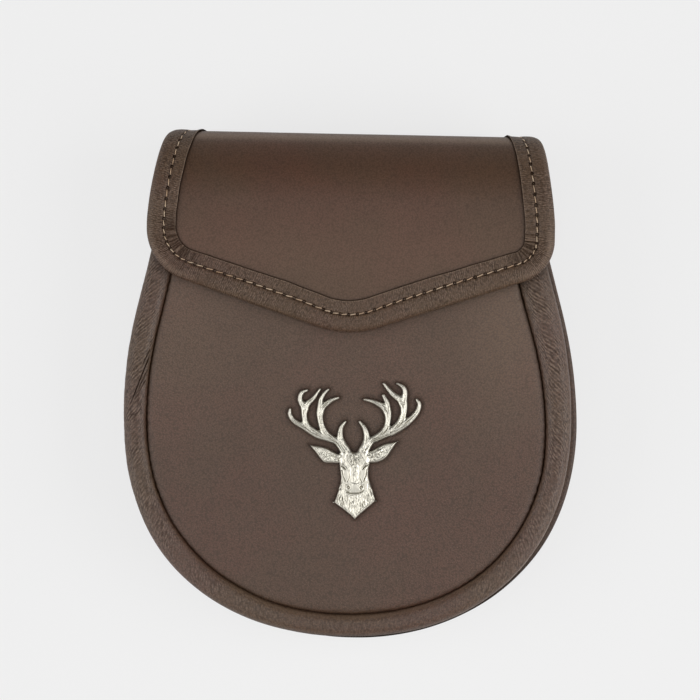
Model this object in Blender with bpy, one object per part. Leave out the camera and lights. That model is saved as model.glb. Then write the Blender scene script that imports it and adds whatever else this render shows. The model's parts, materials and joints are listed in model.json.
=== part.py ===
"""A leather sporran pouch with a bent-over flap, a rolled edge and a stag's head badge.

Units are metres. The pouch is described in its own frame: +X to its right as seen from the
front, +Y towards its top, +Z out of its front, and z = 0 on the outer face of the back panel.
It lies on its back: one parent tips it until the belt loop's outer face and the back panel's
bottom edge both touch the floor at z = 0.
"""

import math

import bmesh
import bpy

MM = 0.001
GAP = 0.3 * MM  # between pieces that touch on the real pouch

# Pouch outline, seen from the front: the outer side of the edge roll.
HALF_WIDTH = 94.1 * MM
WIDEST_Y = -13.2 * MM
BOTTOM_Y = -106.1 * MM
BOTTOM_FULLNESS = 2.25  # exponent of the bottom's superellipse; 2 would be an ellipse
SIDE_RADIUS = 182.0 * MM  # above the widest point
SIDE_LEAN = math.radians(14.0)  # of the straight upper side, from +Y
MOUTH_Y = 82.0 * MM

# Depths through the closed pouch.
BACK_THICKNESS = 3.0 * MM
BACK_OVERHANG = 2.4 * MM  # of the back panel beyond the edge roll
BACK_CORNER_WIDTH = 9.0 * MM
BACK_CORNER_RISE = 2.0 * MM
BACK_EDGE_ROUND = 0.8 * MM
ROLL_WIDTH = 10.2 * MM
ROLL_HEIGHT = 12.0 * MM
ROLL_BOTTOM_Z = 24.0 * MM
ROLL_END_SHARE = 0.75  # of the roll's height left at the mouth
ROLL_TAPER_Y = 50.0 * MM  # the roll thins from here up
GUSSET_THICKNESS = 2.0 * MM
GUSSET_SIDE = ((2.4 * MM, 0.0), (1.0 * MM, 7.0 * MM), (1.6 * MM, 14.0 * MM))  # u in, rise
GUSSET_HEAD_U = 4.2 * MM
PANEL_THICKNESS = 2.2 * MM
PANEL_EDGE_Z = 34.5 * MM
PANEL_CROWN = 1.5 * MM
PANEL_CENTRE_Y = -10.0 * MM
PANEL_EDGE_DROP = 0.6 * MM  # where the panel's edge turns down into the groove

# Flap. Its middle surface is described by x and c, the distance along it from the crest:
# positive down the front, negative down the back.
FLAP_THICKNESS = 2.4 * MM
FLAP_FRONT_Z = 39.4 * MM  # middle surface over the front
FLAP_TAIL_Z = -1.7 * MM  # middle surface behind the back panel
FLAP_CREST_Y = 103.8 * MM
FLAP_BEND_DEPTH = 29.0 * MM  # crest down to where the front runs flat
FLAP_TIGHT_ANGLE = math.radians(50.0)  # turned by the tighter front arc, next to the crest
FLAP_BEND_STEPS = (7, 5, 4)  # rows over the back arc, the tight and the wide front arc
FLAP_TAIL_END_Y = 58.0 * MM
FLAP_TIP_Y = 21.6 * MM
FLAP_HALF_WIDTH = 85.3 * MM
FLAP_CREST_HALF_WIDTH = 76.0 * MM
FLAP_TAIL_HALF_WIDTH = 73.2 * MM
FLAP_FULL_WIDTH_C = 47.6 * MM
FLAP_EDGE_SLOPE = math.radians(18.4)  # of the two edges that meet at the tip
FLAP_TIP_RADIUS = 41.0 * MM
FLAP_LEFT_CORNER_RADIUS = 23.0 * MM
FLAP_RIGHT_CORNER_RADIUS = 18.0 * MM
FLAP_SKEW = math.radians(-0.9)  # the flap is sewn on a little askew
FLAP_SHIFT_X = 2.0 * MM
FLAP_SKEW_CENTRE_Y = 66.0 * MM

# Binding round the flap's edge, as a section: u inwards from its outer edge, h off the flap.
BINDING_WIDTH = 13.0 * MM
BINDING_LIP = 1.0 * MM
BINDING_SLOT_START = 5.6 * MM
BINDING_SLOT_HALF = 1.6 * MM
BINDING_SLOT_PLAY = 0.4 * MM  # between the slot's floor and the flap's edge
BINDING_OUTER = ((0.9 * MM, 1.9 * MM), (3.2 * MM, 3.0 * MM), (6.4 * MM, 2.7 * MM))
BINDING_END_ANGLE = math.radians(78.0)  # past the crest, down the back

# Belt loop, a band across the back.
LOOP_HALF_LENGTH = 50.0 * MM
LOOP_THICKNESS = 2.0 * MM
LOOP_STAND_OFF = 7.5 * MM  # outer face off the back panel, at the band's lower bend
LOOP_BOTTOM_Y = 12.0 * MM
LOOP_SEAM_WIDTH = 6.0 * MM
LOOP_RISE_WIDTH = 4.0 * MM  # of each sloping stretch between seam and outer face
LOOP_FACE_HEIGHT = 24.0 * MM
LOOP_LOW_BEND = 0.8  # the inner face's bends lie this share of the wall in from the outer's
LOOP_HIGH_BEND = 0.6

# Hidden press stud between flap and front panel.
STUD_Y = 42.0 * MM
STUD_RADIUS = 5.5 * MM
STUD_NECK_RADIUS = 3.6 * MM
STUD_FLANGE = 0.5 * MM
STUD_PANEL_SHARE = 0.45  # how far out on the front panel the stud stands

# The frame's origin is under the middle of the resting pouch, not at the pouch's own origin.
FRAME_SHIFT_Y = 0.9 * MM

# Badge, from the poll between the antlers.
BADGE_X = 3.8 * MM
BADGE_POLL_Y = -28.6 * MM
BADGE_HEAD_HEIGHT = 3.0 * MM
BADGE_EAR_HEIGHT = 1.8 * MM
BADGE_BEVEL = 0.9 * MM
BADGE_WALL_SHARE = 0.55  # of a plate's height that is upright, below its bevel
ANTLER_HEIGHT = 1.3 * MM  # of a stroke's ridge, plus half its radius
ANTLER_SHOULDER = (0.75, 0.7)  # of a stroke's radius and of its ridge

# Antler strokes: each row is one stroke, its points x, y and radius in millimetres.
ANTLER_STROKES = {
    "left_beam": [(-4.2, 0.0, 1.1), (-6.8, 4.2, 1.0), (-14.3, 6.5, 1.3), (-20.6, 9.9, 1.1),
                  (-25.4, 12.4, 0.7), (-27.3, 15.3, 0.55), (-27.1, 17.9, 0.25)],
    "left_brow": [(-3.6, 1.6, 1.0), (-6.2, 6.6, 1.0), (-5.8, 10.4, 0.65), (-3.8, 12.7, 0.2)],
    "left_outer": [(-21.0, 10.2, 1.4), (-20.8, 14.6, 1.2), (-20.8, 19.2, 1.1),
                   (-17.4, 22.4, 0.7), (-14.3, 26.2, 0.2)],
    "left_outer_prong": [(-21.0, 18.4, 1.1), (-22.9, 21.8, 0.75), (-22.0, 24.8, 0.5),
                         (-19.9, 25.9, 0.2)],
    "left_inner": [(-14.2, 6.6, 1.5), (-14.7, 12.0, 1.1), (-14.2, 17.4, 0.95),
                   (-10.4, 21.2, 0.65), (-6.7, 22.8, 0.25)],
    "left_inner_prong": [(-14.3, 16.8, 1.0), (-14.5, 21.4, 0.75), (-13.2, 24.4, 0.5),
                         (-10.9, 26.2, 0.2)],
    "right_beam": [(3.8, 0.2, 1.1), (6.2, 4.4, 1.0), (11.6, 6.9, 1.0), (18.6, 9.6, 1.1),
                   (22.8, 12.8, 0.95), (26.0, 16.4, 0.65), (27.1, 20.0, 0.5),
                   (25.9, 22.0, 0.25)],
    "right_brow": [(3.4, 1.2, 1.0), (5.4, 5.6, 1.0), (4.6, 9.8, 0.65), (2.3, 12.7, 0.2)],
    "right_outer": [(20.2, 11.0, 1.5), (20.4, 16.6, 1.15), (20.2, 21.4, 1.1),
                    (15.6, 24.6, 0.7), (12.2, 28.6, 0.35)],
    "right_outer_prong": [(20.2, 20.6, 1.1), (21.2, 24.8, 0.7), (20.2, 27.4, 0.5),
                          (17.8, 28.8, 0.2)],
    "right_inner": [(13.7, 8.0, 1.4), (14.1, 13.0, 1.1), (13.4, 17.6, 0.95),
                    (9.0, 20.8, 0.65), (4.0, 22.1, 0.25)],
    "right_inner_prong": [(13.7, 16.8, 0.95), (13.8, 20.6, 0.8), (12.0, 23.6, 0.35)],
}

# Head outlines, x and y in millimetres, each run round once anticlockwise.
HEAD_OUTLINE = [(-5.6, 1.2), (-7.2, -1.6), (-6.4, -4.6), (-6.2, -7.8), (-5.7, -11.6),
                (-7.1, -17.4), (-8.6, -21.0), (-2.1, -25.9), (0.0, -28.1), (2.1, -26.0),
                (8.6, -20.4), (7.4, -15.4), (5.9, -11.6), (5.5, -7.8), (6.4, -4.6),
                (7.0, -1.6), (5.4, 1.2), (2.4, 0.9), (0.0, -0.1), (-2.6, 0.9)]
LEFT_EAR = [(-5.0, -0.8), (-7.6, -0.5), (-12.2, 1.7), (-18.7, 2.9), (-16.4, 0.2),
            (-13.0, -4.2), (-10.0, -4.3), (-5.0, -4.2)]
RIGHT_EAR = [(5.0, -4.2), (8.6, -4.0), (12.6, -2.9), (15.4, 0.8), (17.6, 4.4), (12.2, 3.1),
             (8.6, 1.2), (5.0, -0.6)]

OUTLINE_POINTS = 60  # round the pouch, from one end of the mouth to the other

# Colours as linear RGB.
COLOURS = {
    "firm_leather": ((0.060, 0.036, 0.027), 0.45, 0.0),
    "soft_leather": ((0.075, 0.046, 0.033), 0.55, 0.0),
    "antique_silver": ((0.62, 0.60, 0.55), 0.32, 1.0),
    "dark_metal": ((0.25, 0.24, 0.22), 0.40, 1.0),
}


def clear_scene():
    for item in list(bpy.data.objects):
        bpy.data.objects.remove(item, do_unlink=True)


def material(name, finish):
    """A Principled material for one piece, in one of the named finishes."""
    colour, roughness, metallic = COLOURS[finish]
    made = bpy.data.materials.new(name)
    made.use_nodes = True
    shader = made.node_tree.nodes["Principled BSDF"]
    shader.inputs["Base Color"].default_value = (*colour, 1.0)
    shader.inputs["Roughness"].default_value = roughness
    shader.inputs["Metallic"].default_value = metallic
    return made


def empty(name, parent=None):
    made = bpy.data.objects.new(name, None)
    bpy.context.scene.collection.objects.link(made)
    made.parent = parent
    return made


def solid(name, mesh_builder, finish, parent, smooth_angle=40.0):
    """Turn a finished bmesh into a named object with its own material, faces pointing out."""
    bmesh.ops.recalc_face_normals(mesh_builder, faces=mesh_builder.faces[:])
    if mesh_builder.calc_volume(signed=True) < 0:
        bmesh.ops.reverse_faces(mesh_builder, faces=mesh_builder.faces[:])
    mesh = bpy.data.meshes.new(name)
    mesh_builder.to_mesh(mesh)
    mesh_builder.free()
    mesh.shade_smooth()
    mesh.set_sharp_from_angle(angle=math.radians(smooth_angle))
    mesh.materials.append(material(name, finish))
    made = bpy.data.objects.new(name, mesh)
    bpy.context.scene.collection.objects.link(made)
    made.parent = parent
    return made


def resample(points, count):
    """Points evenly spaced by length along a polyline of (x, y) points."""
    lengths = [0.0]
    for a, b in zip(points, points[1:]):
        lengths.append(lengths[-1] + math.dist(a, b))
    spaced = []
    k = 0
    for i in range(count):
        target = lengths[-1] * i / (count - 1)
        while k < len(points) - 2 and lengths[k + 1] < target:
            k += 1
        share = (target - lengths[k]) / (lengths[k + 1] - lengths[k])
        spaced.append(tuple(p + (q - p) * share for p, q in zip(points[k], points[k + 1])))
    return spaced


def inward_normals(path):
    """Unit normals to the left of the direction of travel along an open path."""
    normals = []
    for i in range(len(path)):
        a = path[max(i - 1, 0)][:2]
        b = path[min(i + 1, len(path) - 1)][:2]
        length = math.dist(a, b)
        normals.append(((a[1] - b[1]) / length, (b[0] - a[0]) / length))
    return normals


def offset(path, distance):
    """The path moved to the left of its direction of travel."""
    return [
        (x + nx * distance, y + ny * distance)
        for (x, y), (nx, ny) in zip(path, inward_normals(path))
    ]


def smooth_through(points, steps):
    """A Catmull-Rom curve through the points, with a number of steps between each two."""
    ends = [points[0]] + points + [points[-1]]
    curve = []
    for k in range(1, len(ends) - 2):
        p0, p1, p2, p3 = ends[k - 1:k + 3]
        for i in range(steps):
            t = i / steps
            curve.append(tuple(
                0.5 * (2 * b + (c - a) * t + (2 * a - 5 * b + 4 * c - d) * t ** 2
                       + (3 * b - a - 3 * c + d) * t ** 3)
                for a, b, c, d in zip(p0, p1, p2, p3)
            ))
    curve.append(points[-1])
    return curve


def lofted(rows):
    """A closed body through equal closed rows of points, with both end rows capped."""
    made = bmesh.new()
    rings = [[made.verts.new(point) for point in row] for row in rows]
    count = len(rings[0])
    for ring, following in zip(rings, rings[1:]):
        for k in range(count):
            j = (k + 1) % count
            made.faces.new((ring[k], ring[j], following[j], following[k]))
    made.faces.new(rings[0])
    made.faces.new(rings[-1])
    return made


# --- pouch outline -----------------------------------------------------------------------


def upper_half_width(y):
    """Half width of the outline above its widest point: an arc, then a straight side."""
    rise = y - WIDEST_Y
    arc_rise = SIDE_RADIUS * math.sin(SIDE_LEAN)
    if rise < arc_rise:
        return HALF_WIDTH - SIDE_RADIUS + math.sqrt(SIDE_RADIUS ** 2 - rise ** 2)
    arc_loss = SIDE_RADIUS * (1 - math.cos(SIDE_LEAN))
    return HALF_WIDTH - arc_loss - (rise - arc_rise) * math.tan(SIDE_LEAN)


def pouch_outline():
    """The edge roll's outer side, from the mouth's left end round the bottom to its right."""
    fine = 200
    right = []
    for i in range(fine):
        y = MOUTH_Y + (WIDEST_Y - MOUTH_Y) * i / fine
        right.append((upper_half_width(y), y))
    for i in range(fine + 1):
        t = 0.5 * math.pi * i / fine
        power = 2 / BOTTOM_FULLNESS
        x = HALF_WIDTH * abs(math.cos(t)) ** power
        y = WIDEST_Y - (WIDEST_Y - BOTTOM_Y) * abs(math.sin(t)) ** power
        right.append((x, y))
    left = [(-x, y) for x, y in right]
    return resample(left + right[-2::-1], OUTLINE_POINTS)


def level_top(path, y):
    """Run the path's two ends on, or back, along their own directions to height y."""
    levelled = list(path)
    for end, neighbour in ((0, 1), (-1, -2)):
        (x0, y0), (x1, y1) = levelled[end], levelled[neighbour]
        levelled[end] = (x0 + (x1 - x0) * (y - y0) / (y1 - y0), y)
    return levelled


# --- body pieces -------------------------------------------------------------------------


def back_panel(parent):
    """Flat firm leather, its edge standing proud of the roll, with rounded top corners."""
    sides = level_top(offset(pouch_outline(), -BACK_OVERHANG), MOUTH_Y)
    corner = []
    steps = 4
    top_x = sides[-1][0]
    for i in range(steps + 1):
        t = 0.5 * math.pi * i / steps
        x = top_x - BACK_CORNER_WIDTH * (1 - math.cos(t))
        y = MOUTH_Y + BACK_CORNER_RISE * math.sin(t)
        corner.append((x, y))
    outline = sides[:-1] + corner + [(-x, y) for x, y in reversed(corner)][:-1]
    centre_y = 0.5 * (MOUTH_Y + BOTTOM_Y)

    def ring(inset, z):
        points = []
        for x, y in outline:
            reach = math.hypot(x, y - centre_y)
            share = 1 - inset / reach
            points.append((x * share, centre_y + (y - centre_y) * share, z))
        return points

    rows = [ring(BACK_EDGE_ROUND, 0.0), ring(0.0, BACK_EDGE_ROUND),
            ring(0.0, BACK_THICKNESS - BACK_EDGE_ROUND), ring(BACK_EDGE_ROUND, BACK_THICKNESS)]
    return solid("back_panel", lofted(rows), "firm_leather", parent)


def swept_round_pouch(section_at):
    """A body swept along the outline; section_at gives (u, z) points, u inwards, by height."""
    outline = pouch_outline()
    rows = []
    for (x, y), (nx, ny) in zip(outline, inward_normals(outline)):
        rows.append([(x + nx * u, y + ny * u, z) for u, z in section_at(y)])
    for row in (rows[0], rows[-1]):
        for k, (x, y, z) in enumerate(row):
            row[k] = (x, MOUTH_Y, z)
    return lofted(rows)


def roll_share(y):
    """How much of the roll's height is left at height y: it thins towards the mouth."""
    up = min(max((y - ROLL_TAPER_Y) / (MOUTH_Y - ROLL_TAPER_Y), 0.0), 1.0)
    return 1 - (1 - ROLL_END_SHARE) * up ** 2


def edge_roll(parent):
    """Soft leather over padding, an oval section that lies against the front panel's edge."""
    sides = 12

    def section(y):
        height = 0.5 * ROLL_HEIGHT * roll_share(y)
        points = []
        for k in range(sides):
            t = 2 * math.pi * k / sides
            u = 0.5 * ROLL_WIDTH * (1 - math.cos(t))
            points.append((u, ROLL_BOTTOM_Z + height * (1 + math.sin(t))))
        return points

    return solid("edge_roll", swept_round_pouch(section), "soft_leather", parent, 60.0)


def gusset(parent):
    """The side wall: a soft strip that bellies out between the back panel and the roll."""
    foot_z = BACK_THICKNESS + GAP
    outer = [(u, foot_z + rise) for u, rise in GUSSET_SIDE]
    outer.append((GUSSET_HEAD_U, ROLL_BOTTOM_Z - GAP))
    inner = [(u + GUSSET_THICKNESS, z) for u, z in reversed(outer)]
    return solid("gusset", swept_round_pouch(lambda y: outer + inner), "soft_leather", parent,
                 60.0)


def panel_top_z(share):
    """Outer face of the front panel, by its share of the way out from the centre."""
    return PANEL_EDGE_Z + PANEL_CROWN * (1 - share ** 4)


def front_panel(parent):
    """The smooth front, a shallow dome set inside the roll, open along the mouth."""
    sides = offset(pouch_outline(), ROLL_WIDTH + GAP)
    outline = level_top(sides, MOUTH_Y)
    shares = [1.0, 0.985, 0.88, 0.66, 0.36]
    drops = [PANEL_EDGE_DROP, 0.0, 0.0, 0.0, 0.0]
    made = bmesh.new()

    def skin(lift):
        rings = []
        for share, drop in zip(shares, drops):
            z = panel_top_z(share) - drop + lift
            ring = []
            for x, y in outline:
                at_y = PANEL_CENTRE_Y + (y - PANEL_CENTRE_Y) * share
                ring.append(made.verts.new((x * share, at_y, z)))
            rings.append(ring)
        for ring, following in zip(rings, rings[1:]):
            for k in range(len(ring)):
                j = (k + 1) % len(ring)
                made.faces.new((ring[k], ring[j], following[j], following[k]))
        hub = made.verts.new((0.0, PANEL_CENTRE_Y, panel_top_z(0.0) + lift))
        for k in range(len(ring)):
            made.faces.new((rings[-1][k], rings[-1][(k + 1) % len(ring)], hub))
        return rings[0]

    top = skin(0.0)
    bottom = skin(-PANEL_THICKNESS)
    for k in range(len(top)):
        j = (k + 1) % len(top)
        made.faces.new((top[k], bottom[k], bottom[j], top[j]))
    return solid("front_panel", made, "firm_leather", parent)


# --- flap --------------------------------------------------------------------------------


def flap_profile():
    """The flap's bend as three arcs: back radius, tight front radius, wide front radius."""
    back = 0.5 * (FLAP_FRONT_Z - FLAP_TAIL_Z)
    s, c = math.sin(FLAP_TIGHT_ANGLE), math.cos(FLAP_TIGHT_ANGLE)
    # tight * s + wide * (1 - s) = back, and tight * (1 - c) + wide * c = FLAP_BEND_DEPTH
    determinant = s * c - (1 - s) * (1 - c)
    tight = (back * c - (1 - s) * FLAP_BEND_DEPTH) / determinant
    wide = (s * FLAP_BEND_DEPTH - (1 - c) * back) / determinant
    return back, tight, wide


def front_bend_length():
    back, tight, wide = flap_profile()
    return tight * FLAP_TIGHT_ANGLE + wide * (0.5 * math.pi - FLAP_TIGHT_ANGLE)


def back_bend_length():
    return flap_profile()[0] * 0.5 * math.pi


def on_flap(x, c, h):
    """A point at x, c along and h off the flap's middle surface."""
    back, tight, wide = flap_profile()
    middle_z = FLAP_TAIL_Z + back
    if c < -back_bend_length():
        down = -c - back_bend_length()
        return (x, FLAP_CREST_Y - back - down, FLAP_TAIL_Z - h)
    if c < 0:
        turn = -c / back
        y = FLAP_CREST_Y - back + (back + h) * math.cos(turn)
        return (x, y, middle_z - (back + h) * math.sin(turn))
    tight_length = tight * FLAP_TIGHT_ANGLE
    if c < tight_length:
        turn = c / tight
        y = FLAP_CREST_Y - tight + (tight + h) * math.cos(turn)
        return (x, y, middle_z + (tight + h) * math.sin(turn))
    front_y = FLAP_CREST_Y - FLAP_BEND_DEPTH
    if c < front_bend_length():
        turn = FLAP_TIGHT_ANGLE + (c - tight_length) / wide
        y = front_y + (wide + h) * math.cos(turn)
        return (x, y, FLAP_FRONT_Z - wide + (wide + h) * math.sin(turn))
    return (x, front_y - (c - front_bend_length()), FLAP_FRONT_Z + h)


def flap_c(y):
    """Distance from the crest to height y on the flat front."""
    return front_bend_length() + FLAP_CREST_Y - FLAP_BEND_DEPTH - y


def flap_half_width(c):
    """Half width of the bound flap: it widens from the tail over the crest to the corners."""
    gain = FLAP_HALF_WIDTH - FLAP_CREST_HALF_WIDTH
    if c >= 0:
        left = max(1 - c / FLAP_FULL_WIDTH_C, 0.0)
        return FLAP_HALF_WIDTH - gain * left ** 1.5
    loss = FLAP_CREST_HALF_WIDTH - FLAP_TAIL_HALF_WIDTH
    reach = loss / (1.5 * gain / FLAP_FULL_WIDTH_C)
    return FLAP_CREST_HALF_WIDTH - loss * (1 - math.exp(c / reach))


def bend_rows():
    """The c of each row over the bend, denser where the bend is tighter."""
    _, tight, _ = flap_profile()
    stops = [-back_bend_length(), 0.0, tight * FLAP_TIGHT_ANGLE, front_bend_length()]
    rows = []
    for start, end, count in zip(stops, stops[1:], FLAP_BEND_STEPS):
        rows += [start + (end - start) * k / count for k in range(count)]
    return rows + [stops[-1]]


def half_flap_edge(tail_c, corner_radius):
    """Half of the flap's edge as x and c, from the tail down one side to the tip."""
    side = [(flap_half_width(c), c) for c in bend_rows() if c > tail_c]
    side.insert(0, (flap_half_width(tail_c), tail_c))
    # The corner arc touches the side at its top and the sloping edge at its bottom.
    apex_drop = FLAP_TIP_RADIUS * (1 / math.cos(FLAP_EDGE_SLOPE) - 1)
    apex_c = flap_c(FLAP_TIP_Y) + apex_drop
    turn = 0.5 * math.pi - FLAP_EDGE_SLOPE
    meet_c = apex_c - FLAP_HALF_WIDTH * math.tan(FLAP_EDGE_SLOPE)
    centre_c = meet_c - corner_radius * math.tan(0.5 * turn)
    centre_x = FLAP_HALF_WIDTH - corner_radius
    corner_steps, straight_steps, tip_steps = 8, 4, 4
    corner = []
    for k in range(corner_steps + 1):
        t = turn * k / corner_steps
        corner.append((centre_x + corner_radius * math.cos(t),
                       centre_c + corner_radius * math.sin(t)))
    tip_centre_c = flap_c(FLAP_TIP_Y) - FLAP_TIP_RADIUS
    tip = []
    for k in range(tip_steps + 1):
        t = FLAP_EDGE_SLOPE * (1 - k / tip_steps)
        tip.append((FLAP_TIP_RADIUS * math.sin(t),
                    tip_centre_c + FLAP_TIP_RADIUS * math.cos(t)))
    straight = []
    (x0, c0), (x1, c1) = corner[-1], tip[0]
    for k in range(1, straight_steps):
        t = k / straight_steps
        straight.append((x0 + (x1 - x0) * t, c0 + (c1 - c0) * t))
    return side + corner + straight + tip


def flap_edge(tail_c, inset=0.0):
    """The flap's edge as x and c, from the tail down the right, round the tip and back up."""
    right = half_flap_edge(tail_c, FLAP_RIGHT_CORNER_RADIUS)
    left = half_flap_edge(tail_c, FLAP_LEFT_CORNER_RADIUS)
    return offset(right + [(-x, c) for x, c in reversed(left[:-1])], inset)


def x_on_path(path, c):
    """The x at which a path first crosses c, running towards larger c."""
    for (x0, c0), (x1, c1) in zip(path, path[1:]):
        if c0 <= c <= c1:
            return x0 + (x1 - x0) * (c - c0) / (c1 - c0)
    return path[0][0]


def flap(parent):
    """One sheet of firm leather, cut to the outline and bent over the top of the pouch."""
    tail_c = -back_bend_length() - (FLAP_CREST_Y - flap_profile()[0] - FLAP_TAIL_END_Y)
    beyond_tail = 10.0 * MM
    inset = flap_edge(tail_c - beyond_tail, BINDING_SLOT_START + BINDING_SLOT_PLAY)
    # Over the bend the edge has a point on each row, so that each row stays straight.
    side = [(x_on_path(inset, c), c) for c in [tail_c] + bend_rows()]
    front = [(x, c) for x, c in inset if c > front_bend_length() + GAP]
    edge = side + front + [(-x, c) for x, c in reversed(side)]
    made = bmesh.new()
    made.faces.new([made.verts.new((x, c, 0.0)) for x, c in edge])
    for c in bend_rows():
        bmesh.ops.bisect_plane(
            made, geom=made.verts[:] + made.edges[:] + made.faces[:], dist=1e-6,
            plane_co=(0.0, c, 0.0), plane_no=(0.0, 1.0, 0.0))
    under = made.verts[:]
    grown = bmesh.ops.extrude_face_region(made, geom=made.faces[:], use_keep_orig=True)
    over = [item for item in grown["geom"] if isinstance(item, bmesh.types.BMVert)]
    for group, h in ((under, -0.5 * FLAP_THICKNESS), (over, 0.5 * FLAP_THICKNESS)):
        for vertex in group:
            vertex.co = on_flap(vertex.co.x, vertex.co.y, h)
    return solid("flap", made, "firm_leather", parent, 30.0)


def flap_binding(parent):
    """A soft strip folded round the flap's edge: a padded outer half and two thin lips."""
    lip = BINDING_SLOT_HALF + BINDING_LIP
    slot = BINDING_SLOT_HALF
    half = [*BINDING_OUTER, (BINDING_WIDTH, lip), (BINDING_WIDTH, slot),
            (BINDING_SLOT_START, slot)]
    section = [(0.0, 0.0)] + half + [(u, -h) for u, h in reversed(half)]
    back = flap_profile()[0]
    path = flap_edge(-back * BINDING_END_ANGLE)
    rows = []
    for (x, c), (nx, nc) in zip(path, inward_normals(path)):
        rows.append([on_flap(x + nx * u, c + nc * u, h) for u, h in section])
    return solid("flap_binding", lofted(rows), "soft_leather", parent, 60.0)


# --- fastenings and badge ----------------------------------------------------------------


def belt_loop(parent, tilt):
    """A band across the back, sewn along its top and bottom, its face parallel to the floor."""
    bottom = LOOP_BOTTOM_Y
    face_bottom = bottom + LOOP_SEAM_WIDTH + LOOP_RISE_WIDTH
    face_top = face_bottom + LOOP_FACE_HEIGHT
    top = face_top + LOOP_RISE_WIDTH + LOOP_SEAM_WIDTH
    deeper = LOOP_FACE_HEIGHT * math.tan(tilt)
    low = -GAP
    outer = [(bottom, low - LOOP_THICKNESS), (bottom + LOOP_SEAM_WIDTH, low - LOOP_THICKNESS),
             (face_bottom, -LOOP_STAND_OFF), (face_top, -LOOP_STAND_OFF - deeper),
             (top - LOOP_SEAM_WIDTH, low - LOOP_THICKNESS), (top, low - LOOP_THICKNESS)]
    wall = LOOP_THICKNESS
    inner = [(top, low), (top - LOOP_SEAM_WIDTH - LOOP_LOW_BEND * wall, low),
             (face_top - LOOP_HIGH_BEND * wall, -LOOP_STAND_OFF - deeper + wall),
             (face_bottom + LOOP_HIGH_BEND * wall, -LOOP_STAND_OFF + wall),
             (bottom + LOOP_SEAM_WIDTH + LOOP_LOW_BEND * wall, low), (bottom, low)]
    profile = outer + inner
    rows = [[(x, y, z) for y, z in profile] for x in (-LOOP_HALF_LENGTH, LOOP_HALF_LENGTH)]
    return solid("belt_loop", lofted(rows), "firm_leather", parent)


def press_stud(parent):
    """The closed stud, cap and socket as one plain turned piece."""
    low = panel_top_z(STUD_PANEL_SHARE) + 2 * GAP
    high = FLAP_FRONT_Z - 0.5 * FLAP_THICKNESS - GAP
    profile = [(STUD_RADIUS, low), (STUD_RADIUS, low + STUD_FLANGE),
               (STUD_NECK_RADIUS, low + STUD_FLANGE), (STUD_NECK_RADIUS, high - STUD_FLANGE),
               (STUD_RADIUS, high - STUD_FLANGE), (STUD_RADIUS, high)]
    sides = 20
    rows = []
    for radius, z in profile:
        row = []
        for k in range(sides):
            t = 2 * math.pi * k / sides
            row.append((radius * math.cos(t), STUD_Y + radius * math.sin(t), z))
        rows.append(row)
    return solid("press_stud", lofted(rows), "dark_metal", parent)


def antler_stroke(points):
    """One tapered stroke of an antler, ridged on top and flat behind."""
    curve = smooth_through([tuple(value * MM for value in point) for point in points], 2)
    shoulder_u, shoulder_z = ANTLER_SHOULDER
    rows = []
    for (x, y, radius), (nx, ny) in zip(curve, inward_normals(curve)):
        ridge = ANTLER_HEIGHT + 0.5 * radius
        section = [(-radius, 0.0), (-shoulder_u * radius, shoulder_z * ridge), (0.0, ridge),
                   (shoulder_u * radius, shoulder_z * ridge), (radius, 0.0)]
        rows.append([(x + nx * u, y + ny * u, z) for u, z in section])
    return lofted(rows)


def relief_plate(outline, height):
    """A flat-backed plate of the outline, upright below and bevelled above."""
    points = [(x * MM, y * MM) for x, y in outline]
    inset = offset([points[-1]] + points + [points[0]], BADGE_BEVEL)[1:-1]
    return lofted([[(x, y, 0.0) for x, y in points],
                   [(x, y, BADGE_WALL_SHARE * height) for x, y in points],
                   [(x, y, height) for x, y in inset]])


def stag_badge(parent):
    """A cast stag's head: the head's plate with ears and antler strokes united to it."""
    place = empty("badge_place", parent)
    place.location = (BADGE_X, BADGE_POLL_Y, panel_top_z(0.0) + GAP)
    badge = solid("stag_badge", relief_plate(HEAD_OUTLINE, BADGE_HEAD_HEIGHT),
                  "antique_silver", place)
    united = {name: antler_stroke(points) for name, points in ANTLER_STROKES.items()}
    united["left_ear"] = relief_plate(LEFT_EAR, BADGE_EAR_HEIGHT)
    united["right_ear"] = relief_plate(RIGHT_EAR, BADGE_EAR_HEIGHT)
    parts = bpy.data.collections.new("badge_parts")
    bpy.context.scene.collection.children.link(parts)
    for name, mesh_builder in united.items():
        part = solid(name, mesh_builder, "antique_silver", place)
        part.hide_render = True
        part.display_type = "WIRE"
        bpy.context.scene.collection.objects.unlink(part)
        parts.objects.link(part)
    union = badge.modifiers.new("antlers_and_ears", "BOOLEAN")
    union.operation = "UNION"
    union.operand_type = "COLLECTION"
    union.collection = parts
    return badge


# --- assembly ----------------------------------------------------------------------------


def main():
    clear_scene()
    # The tip about X sets the loop's face and the back panel's bottom edge on the floor.
    contact_y = LOOP_BOTTOM_Y + LOOP_SEAM_WIDTH + LOOP_RISE_WIDTH
    bottom_edge = BOTTOM_Y - BACK_OVERHANG + BACK_EDGE_ROUND
    tilt = math.atan2(LOOP_STAND_OFF, contact_y - bottom_edge)
    pouch = empty("pouch_rest")
    pouch.rotation_euler = (tilt, 0.0, 0.0)
    pouch.location = (0.0, FRAME_SHIFT_Y, -bottom_edge * math.sin(tilt))

    flap_set = empty("flap_set", pouch)
    flap_set.rotation_euler = (0.0, 0.0, FLAP_SKEW)
    flap_set.location = (FLAP_SHIFT_X + FLAP_SKEW_CENTRE_Y * math.sin(FLAP_SKEW),
                         FLAP_SKEW_CENTRE_Y * (1 - math.cos(FLAP_SKEW)), 0.0)

    back_panel(pouch)
    gusset(pouch)
    edge_roll(pouch)
    front_panel(pouch)
    flap(flap_set)
    flap_binding(flap_set)
    press_stud(pouch)
    stag_badge(pouch)
    belt_loop(pouch, tilt)


main()
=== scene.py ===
import json
import math

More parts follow.
